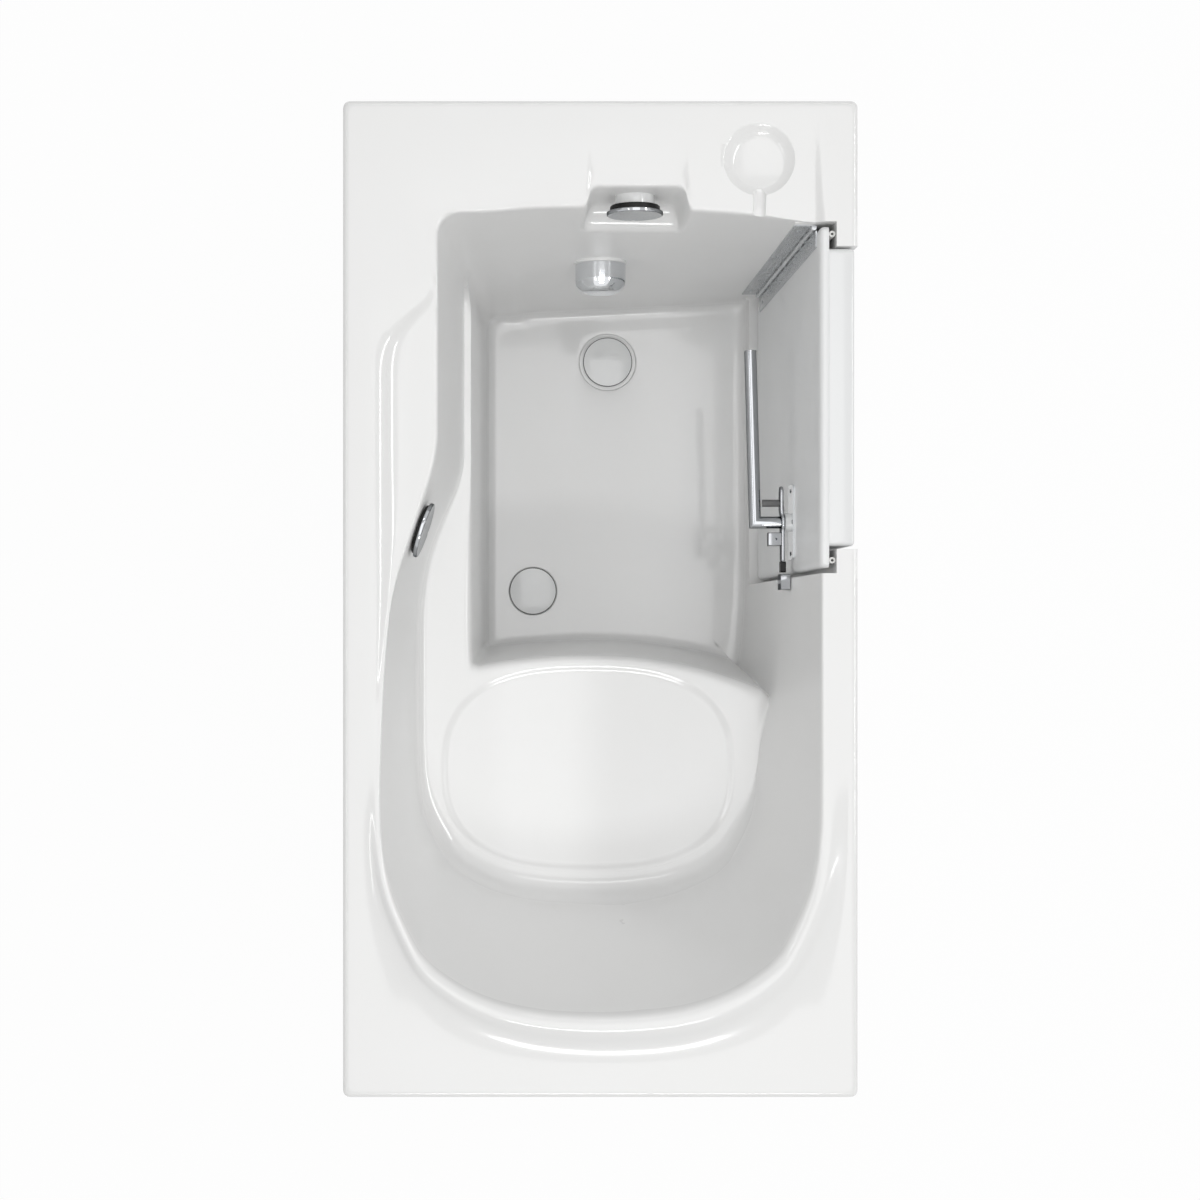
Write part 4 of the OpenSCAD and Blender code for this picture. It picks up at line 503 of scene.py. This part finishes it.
def spline(t):
    """Quadratic B-spline weights in a span about its own control point."""
    return np.stack([(1 - t) ** 2 / 2, 0.5 + t * (1 - t), t * t / 2])


def around(ring, counts):
    """The closed spline round one ring, with its own number of samples in each span."""
    i = np.repeat(np.arange(N), counts)
    w = spline((np.arange(len(i)) - np.repeat(np.cumsum(counts) - counts, counts) + 0.5) / counts[i])
    return w[0][:, None] * ring[i - 1] + w[1][:, None] * ring[i] + w[2][:, None] * ring[(i + 1) % N]


def deck_step(points):
    """The foot deck falls towards the bath: z = H - 8 (746 - y) / 169, up to a soft step, 3 mm wide at
    the rim and 17 mm at the bath, beside the level strip at the door. It fades out towards x = 60."""
    x, y, z = points.T
    fall = 8 * np.clip((746 - y) / 169, 0, 1)
    s = np.clip((328 + 3 + 14 * fall / 8 - x) / (3 + 14 * fall / 8), 0, 1)
    low = H - fall * s * s * (3 - 2 * s)
    near = np.clip((x - 60) / 240, 0, 1)
    near = near * near * (3 - 2 * near)
    deck = (y > FOOT_R - 1) & (z > H - 9)
    return np.c_[x, y, np.where(deck, mixed(z, np.minimum(z, low), near), z)]


def down(rings, steps):
    """The spline from the first ring to the last, with its own number of steps at each ring."""
    rows = [rings[0]]
    for j, s in enumerate(steps):
        w = spline((np.arange(s) + 0.5) / s)
        three = np.stack([rings[max(j - 1, 0)], rings[j], rings[min(j + 1, len(rings) - 1)]])
        rows += list(np.einsum("ks,kic->sic", w, three))
    return rows + [rings[-1]]


ROUND = np.full(N, 6)
ROUND[6:9] = 18
steps = [3, 6, 6, 6, 8, 8, 8, 6, 6, 6, 6, 6, 6, 8, 8, 8, 8, 8, 8, 8, 10, 4]
inside = [deck_step(r) for r in down([around(r, ROUND) for r in inner_net], steps)]
outside = [around(r, ROUND) for r in outer_net]
tub = mesh_object("tub_moulding", *loft(outside[::-1] + inside))


def circle(r, n=96, x=0.0, y=0.0):
    """Anticlockwise circle of radius r about x and y."""
    a = np.linspace(0, 2 * np.pi, n, endpoint=False)
    return np.stack([x + r * np.cos(a), y + r * np.sin(a)], 1)


def box(x, y, z):
    """A plain block as a solid."""
    ring = np.array([[x[0], y[0]], [x[1], y[0]], [x[1], y[1]], [x[0], y[1]]], float)
    return loft([np.c_[ring, np.full(4, h)] for h in z])


def turned(profile, x, y, n=96):
    """A solid of revolution about a vertical line, from (radius, height) pairs, bottom first."""
    return loft([np.c_[circle(r, n, x, y), np.full(n, z)] for r, z in profile])


def wall_frame(origin, axis):
    """Origin and three unit vectors: across, up and out along the axis."""
    out = np.array(axis, float) / np.linalg.norm(axis)
    across = np.cross([0, 0, 1], out)
    across /= np.linalg.norm(across)
    return np.array(origin, float), across, np.cross(out, across), out


def turned_on(place, profile, n=96):
    """A solid of revolution about a wall fitting's axis, from (radius, distance out) pairs."""
    o, u, v, w = place
    return loft([o + circle(r, n) @ np.stack([u, v]) + z * w for r, z in profile])


side_dir = np.array([0.9467, -0.3217])
SIDE = wall_frame([LEFT_X - 70 * (220 - 112) / 206 + 2.5, 112, H - 75],
                  [*(side_dir * math.cos(math.radians(4))), math.sin(math.radians(4))])
INLET_Z = H - 400
INLET_X = 21.5
INLET_Y = mixed(foot_line(INLET_X, FOOT_L, FOOT_R, BOW), foot_line(INLET_X, FOOT_L - 45, FOOT_R, 0),
                392 / (H - 8 - FLOOR_Z))
INLET = wall_frame([INLET_X, INLET_Y, INLET_Z], [0, -1, 0])
KNOB = wall_frame([NICHE_X, NICHE_Y, H - 80], [0, -1, 0])


def round_step(r0, r1, z0, z1, n=6):
    """Quarter-round (radius, height) pairs from one radius and height to the next."""
    a = np.linspace(0, np.pi / 2, n)
    return list(zip(r0 + (r1 - r0) * (1 - np.cos(a)), z0 + (z1 - z0) * np.sin(a)))


DOOR_X, DOOR_Y0, DOOR_Y1, DOOR_Z0, DOOR_TOP = 335.0, 48.0, 570.5, 200.0, H - 4
POCKET_Y0, POCKET_Z, LIP_X = DOOR_Y0 - 8.5, DOOR_Z0 - 4, DOOR_X + 15 + 10 + 1
OPEN_Y0, OPEN_Y1, SILL_Z = DOOR_Y0 + 33.5 - 5, DOOR_Y1 - 33.5 + 2.5, DOOR_Z0 + 28
JAMB_Y0, JAMB_Y1, JAMB_Z = POCKET_Y0 - WALL, FOOT_R + WALL, POCKET_Z - 2 * WALL
AXIS_X = DOOR_X - 4.5
LAND_X = AXIS_X - 31


def right_wall(z):
    """The right wall's x at height z, on a straight line from rim to floor."""
    return WELL_HW - (WELL_HW - FLOOR_RIGHT) * (H - z) / (H - FLOOR_Z)


surround = np.array([[right_wall(H) + 3, H - 2], [HX - 0.5, H - 2], [HX - 0.5, JAMB_Z],
                     [right_wall(JAMB_Z) + 3, JAMB_Z]])
surround = loft([np.stack([surround[:, 0], np.full(4, y), surround[:, 1]], 1) for y in (JAMB_Y0, JAMB_Y1)])
DISH = (243.6, 668.6)
cut(tub, "surround", joined(surround, turned([(56.5, H - 21), (56.5, H - 9)], *DISH)), "UNION")
cut(tub, "pads", joined(box((LAND_X, HX - 0.5), (FOOT_R, JAMB_Y1), (JAMB_Z, H - 16)),
                        turned_on(SIDE, [(34, -14)] + round_step(34, 31, -0.5, 1.5)),
                        turned_on(INLET, [(45, -14), (45, 1.5)] + round_step(45, 43, 1.6, 3.5))), "UNION")


def squircle(w, l, p, n=160):
    """Superellipse of width w, length l and power p."""
    a = np.linspace(0, 2 * np.pi, n, endpoint=False)
    return np.stack([w / 2 * np.sign(np.cos(a)) * abs(np.cos(a)) ** (2 / p),
                     l / 2 * np.sign(np.sin(a)) * abs(np.sin(a)) ** (2 / p)], 1)


def pan_cutter():
    """Seat pan: a flat oval floor whose sides rise in a soft S to the seat."""
    ring_list = []
    for s in np.linspace(0, 1, 12):
        grow = 16 * s - 8
        z = SEAT_Z - 4 + 4 * (3 * s * s - 2 * s ** 3)
        r = squircle(489 + 2 * grow, 339 + 2 * grow, 2.6)
        ring_list.append(np.c_[r + [0, SEAT_FRONT - 24 - 169.5], np.full(len(r), z)])
    ring_list.append(ring_list[-1] + [0, 0, 16])
    return loft(ring_list)


def recess_cutter(x, y, r):
    """Drain recess: flat bottom, soft rounded wall and a slightly eased rim."""
    return turned([(r - 3, FLOOR_Z - 3)] + round_step(r - 3, r, FLOOR_Z - 3, FLOOR_Z)[1:]
                  + [(r + 1.5, FLOOR_Z + 0.6), (r + 1.5, FLOOR_Z + 17)], x, y)


def dish_cutter():
    """Soap dish: flat floor, curved flank and a rounded mouth."""
    z = H - 3
    s = np.linspace(0, 1, 10)
    flank = [(37 + 18 * v ** 1.15, z - 10 + 10 * v ** 1.6) for v in s]
    return turned(flank + [(58, z + 1.8), (62, z + 3.2), (66, z + 4)] + [(66, z + 20)], *DISH)


FOOT_DRAIN, SIDE_DRAIN = (NICHE_X, 462.7), (-83.6, 28.4)
cut(tub, "hollows", joined(
    box((LAND_X, LIP_X), (POCKET_Y0, FOOT_R), (POCKET_Z, H + 50)), pan_cutter(), dish_cutter(),
    recess_cutter(*FOOT_DRAIN, FOOT_CAP_R + 9.5), recess_cutter(*SIDE_DRAIN, SIDE_CAP_R + 2.5),
    turned_on(KNOB, [(PORT_R, -30), (PORT_R, 10)]), turned_on(SIDE, [(PORT_R, -20), (PORT_R, 10)]),
    turned_on(INLET, [(PORT_R, -20), (PORT_R, 10)])), "DIFFERENCE")
channel = np.array([[-10.5, H + 8], [-10.5, H - 6], [-8, H - 10], [-4, H - 12], [4, H - 12], [8, H - 10],
                    [10.5, H - 6], [10.5, H + 8]])[::-1]
channel = loft([np.stack([DISH[0] + channel[:, 0], np.full(8, y), channel[:, 1]], 1)
                for y in (FOOT_R - 20, DISH[1])])
cut(tub, "channels", joined(
    box((LIP_X - 1, HX + 10), (OPEN_Y0, OPEN_Y1), (SILL_Z, H + 50)), channel,
    turned([(DRAIN_R, FLOOR_Z - 13), (DRAIN_R, FLOOR_Z + 7)], *FOOT_DRAIN),
    turned([(DRAIN_R, FLOOR_Z - 13), (DRAIN_R, FLOOR_Z + 7)], *SIDE_DRAIN)), "DIFFERENCE")
smooth(tub, 32)
tub.data.materials.clear()
tub.data.materials.append(gelcoat)
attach(tub, "tub")
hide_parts("tub_shell")

# ---- Door ----------------------------------------------------------------------------


def round_rect(u, v, r, n=7):
    """Anticlockwise outline of a rectangle with quarter-circle corners."""
    a = np.radians([0, 90, 180, 270])[:, None] + np.linspace(0, np.pi / 2, n)[None]
    cu = np.array([u[1] - r, u[0] + r, u[0] + r, u[1] - r])[:, None]
    cv = np.array([v[1] - r, v[1] - r, v[0] + r, v[0] + r])[:, None]
    return np.stack([cu + r * np.cos(a), cv + r * np.sin(a)], -1).reshape(-1, 2)


def inset_rect(u, v, r):
    """A function that gives the rectangle's outline moved in by d."""
    return lambda d: round_rect((u[0] + d, u[1] - d), (v[0] + d, v[1] - d), max(r - d, 0.4))


def upright(outline, x):
    """An outline in Y and Z as a ring at x."""
    return np.c_[np.full(len(outline), x), outline]


def eased(outline, x0, x1, e0, e1, n=6):
    """Rings of a plate from x0 to x1 whose edges are quarter rounds of radius e0 and e1."""
    a = np.linspace(0, np.pi / 2, n)
    near = [upright(outline(e0 * (1 - math.sin(v))), x0 + e0 * (1 - math.cos(v))) for v in a]
    far = [upright(outline(e1 * (1 - math.sin(v))), x1 - e1 * (1 - math.cos(v))) for v in a[::-1]]
    return near + far


def extent(node):
    """A CAD node's box in millimetres, as low and high for each axis."""
    low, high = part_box(node)
    return [(a / MM, b / MM) for a, b in zip(low, high)]


def flange_ring(v):
    """Ring of the door's inner half at angle v of a quarter ellipse, 8 mm deep and 10 mm across."""
    s = 1 - math.sin(v)
    ring = round_rect((DOOR_Y0 + 10 * s, DOOR_Y1 - 10 * s), (DOOR_Z0 + 10 * s, DOOR_TOP - 10 * s), 9 - 4 * s)
    return upright(ring, DOOR_X + 8 * (1 - math.cos(v)))


flange = [flange_ring(v) for v in np.linspace(0, np.pi / 2, 14)]
back = eased(inset_rect((DOOR_Y0, DOOR_Y1), (DOOR_Z0, DOOR_TOP), 9), DOOR_X, DOOR_X + 15, 2.5, 0.5)[6:]
panel = mesh_object("door_inner_skin", *loft(flange + back), "door", "door_gloss", door_gelcoat)
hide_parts("door_inner_panel")
ox, oy, oz = extent("door_outer_panel")
cavity = inset_rect((oy[0] + 4, oy[1] - 4), (oz[0] + 4, oz[1] - 4), 6)(0)
tray = [upright(cavity, ox[1] - 4), upright(cavity, ox[0])]
panel = mesh_object("door_outer_skin", *loft(tray + eased(inset_rect(oy, oz, 9), ox[0], ox[1], 0.3, 5)),
                    "door", "door_gloss", door_gelcoat)
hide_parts("door_outer_panel")

# ---- Latch ---------------------------------------------------------------------------
LATCH = np.array([0, 132.0, H - 300])
ROCKER_X = (DOOR_X - 13 - 6.5, DOOR_X - 13 - 0.5)
LEVER_X, LEVER_R, LEVER_L = DOOR_X - 62, 10.0, 284.0
LEAN = math.radians(1.6)


def rocker_outline(d):
    """Bar with a round hub: half width 11, a circle of radius 17 at the pivot, and a half-round end."""
    y = -2.5 + 62.5 * np.sin(np.linspace(-np.pi / 2, np.pi / 2, 90))
    y = np.clip(y, -65 + d, 60 - d)
    half = np.maximum(11 - d, np.sqrt(np.maximum((17 - d) ** 2 - y ** 2, 0)))
    half = np.where(y > 49, np.sqrt(np.maximum((11 - d) ** 2 - np.minimum(y - 49, 11 - d) ** 2, 0.01)), half)
    half = np.where(y < -62, half - 0.5 * (-62 - y), half)
    return np.r_[np.c_[y, -half], np.c_[y, half][::-1]] + LATCH[1:]


rings = eased(rocker_outline, *ROCKER_X, 2.6, 2.0)
for r in rings:
    r[:, 0] -= 2.2 / (1 + np.exp(-(r[:, 1] - LATCH[1] - 14) / 2.5))
rocker = mesh_object("rocker_bar", *loft(rings), "latch", "chrome", chrome)
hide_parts("latch_rocker")


def mitred_tube(corner, arm, arm_l, stub, stub_l, r, n=64):
    """Two round bars of one radius that meet on the plane that halves their angle: each point of the
    shared ring is slid along its bar to that plane."""
    a = np.linspace(0, 2 * np.pi, n, endpoint=False)
    up = np.array([0, 0, 1.0])
    plane = arm - stub
    rings = []
    for way, sign in ((arm, 1), (stub, -1)):
        side = np.cross(up, way) * sign
        ring = corner + r * (np.cos(a)[:, None] * up + np.sin(a)[:, None] * side)
        mitre = ring - way * col((ring - corner) @ plane / (way @ plane))
        end = ring + way * (arm_l if sign > 0 else stub_l)
        near = mitre + (end - mitre) * 0.004
        rings += [end, near] if sign > 0 else [near, end]
    return loft([x[::-1] for x in rings])


corner = np.array([LEVER_X, *LATCH[1:]])
arm_way = np.array([-math.sin(LEAN), math.cos(LEAN), 0])
stub_way = np.array([1.0, 0, 0])
lever = mesh_object("lever_tube", *mitred_tube(corner, arm_way, LEVER_L - 0.3, stub_way, 58.5, LEVER_R),
                    "latch", "chrome", chrome)
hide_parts("latch_lever")
# Moulded rubber, mid grey
grey_rubber = finish("grey_rubber", "#737373", "#696969", 0, 0.5, 0.06, 5, bump=0.02, bump_mm=1.0)
nodes["lever_buffer"].data.materials[0] = grey_rubber
# The base plate and the inlet hood take the lighter chrome, a painted reflection of the white room
for node, look in (("latch_housing", abs_white), ("latch_base_plate", bright_chrome),
                   ("inlet_hood", bright_chrome), ("foot_knob_collar", abs_white)):
    nodes[node].data.materials[0] = look

# ---- Knobs and caps ------------------------------------------------------------------
# The knobs' body under the plated disc, in a near black that is painted shade for the gap and dark reflection
# under the disc, with a dry sheen
shade_black_body = finish("knob_body_painted_shade", "#070707", "#0b0b0b", 0, 0.4, 0.04, 20, extra={"Specular IOR Level": 0.3})
# Satin-plated knob face: fine turned rings blurred to a soft sheen
satin = finish("satin_nickel", "#c6c8ca", "#bcbec0", 1, 0.34, 0.05, 5)


def knob(name, place, off, t, body, node):
    """Knob: a body in near black, painted shade under the disc, and on it a wider plated disc with an eased
    edge and a slightly dished satin face, with a finger notch."""
    r = 44
    body_rings = [(30, off), (37.5, off)] + round_step(37.5, 39, off, off + 1.5, 4)[1:]
    body_rings += [(39, off + t - 6.2)]
    disc = [(39, off + t - 6), (r - 0.9, off + t - 6), (r, off + t - 5.1), (r, off + t - 2),
            (r - 0.5, off + t - 0.8), (r - 1.6, off + t - 0.1)]
    face = [(r - 2.4, off + t), (r - 4, off + t - 0.3), (24, off + t - 0.9), (8, off + t - 1.1)]
    o = mesh_object(name, *turned_on(place, body_rings + disc + face), sharp=28)
    origin, u, v, w = place
    hole = origin - v * (r + 3)
    notch = loft([hole + circle(7, 48) @ np.stack([u, v]) + z * w for z in (off - 1, off + t + 1)])
    cut(o, "notch", notch, "DIFFERENCE")
    for m in (shade_black_body, chrome, satin):
        o.data.materials.append(m)
    centre = np.zeros(len(o.data.polygons) * 3)
    o.data.polygons.foreach_get("center", centre)
    rel = centre.reshape(-1, 3) / MM - origin
    out = rel @ w
    radius = length(rel - out[:, None] * w)
    # Faces behind the disc take the near-black body, which is painted shade; the disc is chrome and its face
    # satin
    pick = np.where(out > off + t - 6.1, 1, 0)
    pick = np.where((radius < r - 2) & (out > off + t - 2), 2, pick)
    o.data.polygons.foreach_set("material_index", pick.astype(np.int32))
    smooth(o, 28)
    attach(o, body)
    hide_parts(node)


knob("foot_knob_disc", KNOB, 15.8, 15, "foot_knob", "foot_knob")
knob("side_knob_disc", SIDE, 3.3, 11, "side_knob", "side_knob")


def cap(name, x, y, r, body, node):
    """Stopper cap: a seal lip round a shallow dome, whose height falls with the radius squared."""
    z = FLOOR_Z - 3 + 2.5 + 0.3
    s = np.linspace(1, 0.08, 14)
    dome = [(q * (r - 1.4), z + 3 + 3.5 * (1 - q * q)) for q in s]
    rim_part = [(r - 0.8, z), (r, z + 0.8), (r, z + 2.2), (r - 0.5, z + 2.8)]
    o = mesh_object(name, *turned(rim_part + dome, x, y, 128), body, "cap_white", abs_white, 50)
    o.data.materials.append(grey_rubber)
    centre = np.zeros(len(o.data.polygons) * 3)
    o.data.polygons.foreach_get("center", centre)
    edge = length(centre.reshape(-1, 3)[:, :2] / MM - (x, y)) > r - 1.1
    o.data.polygons.foreach_set("material_index", edge.astype(np.int32))
    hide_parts(node)


cap("foot_cap", *FOOT_DRAIN, FOOT_CAP_R, "foot_stopper", "foot_stopper_cap")
cap("side_cap", *SIDE_DRAIN, SIDE_CAP_R, "side_stopper", "side_stopper_cap")
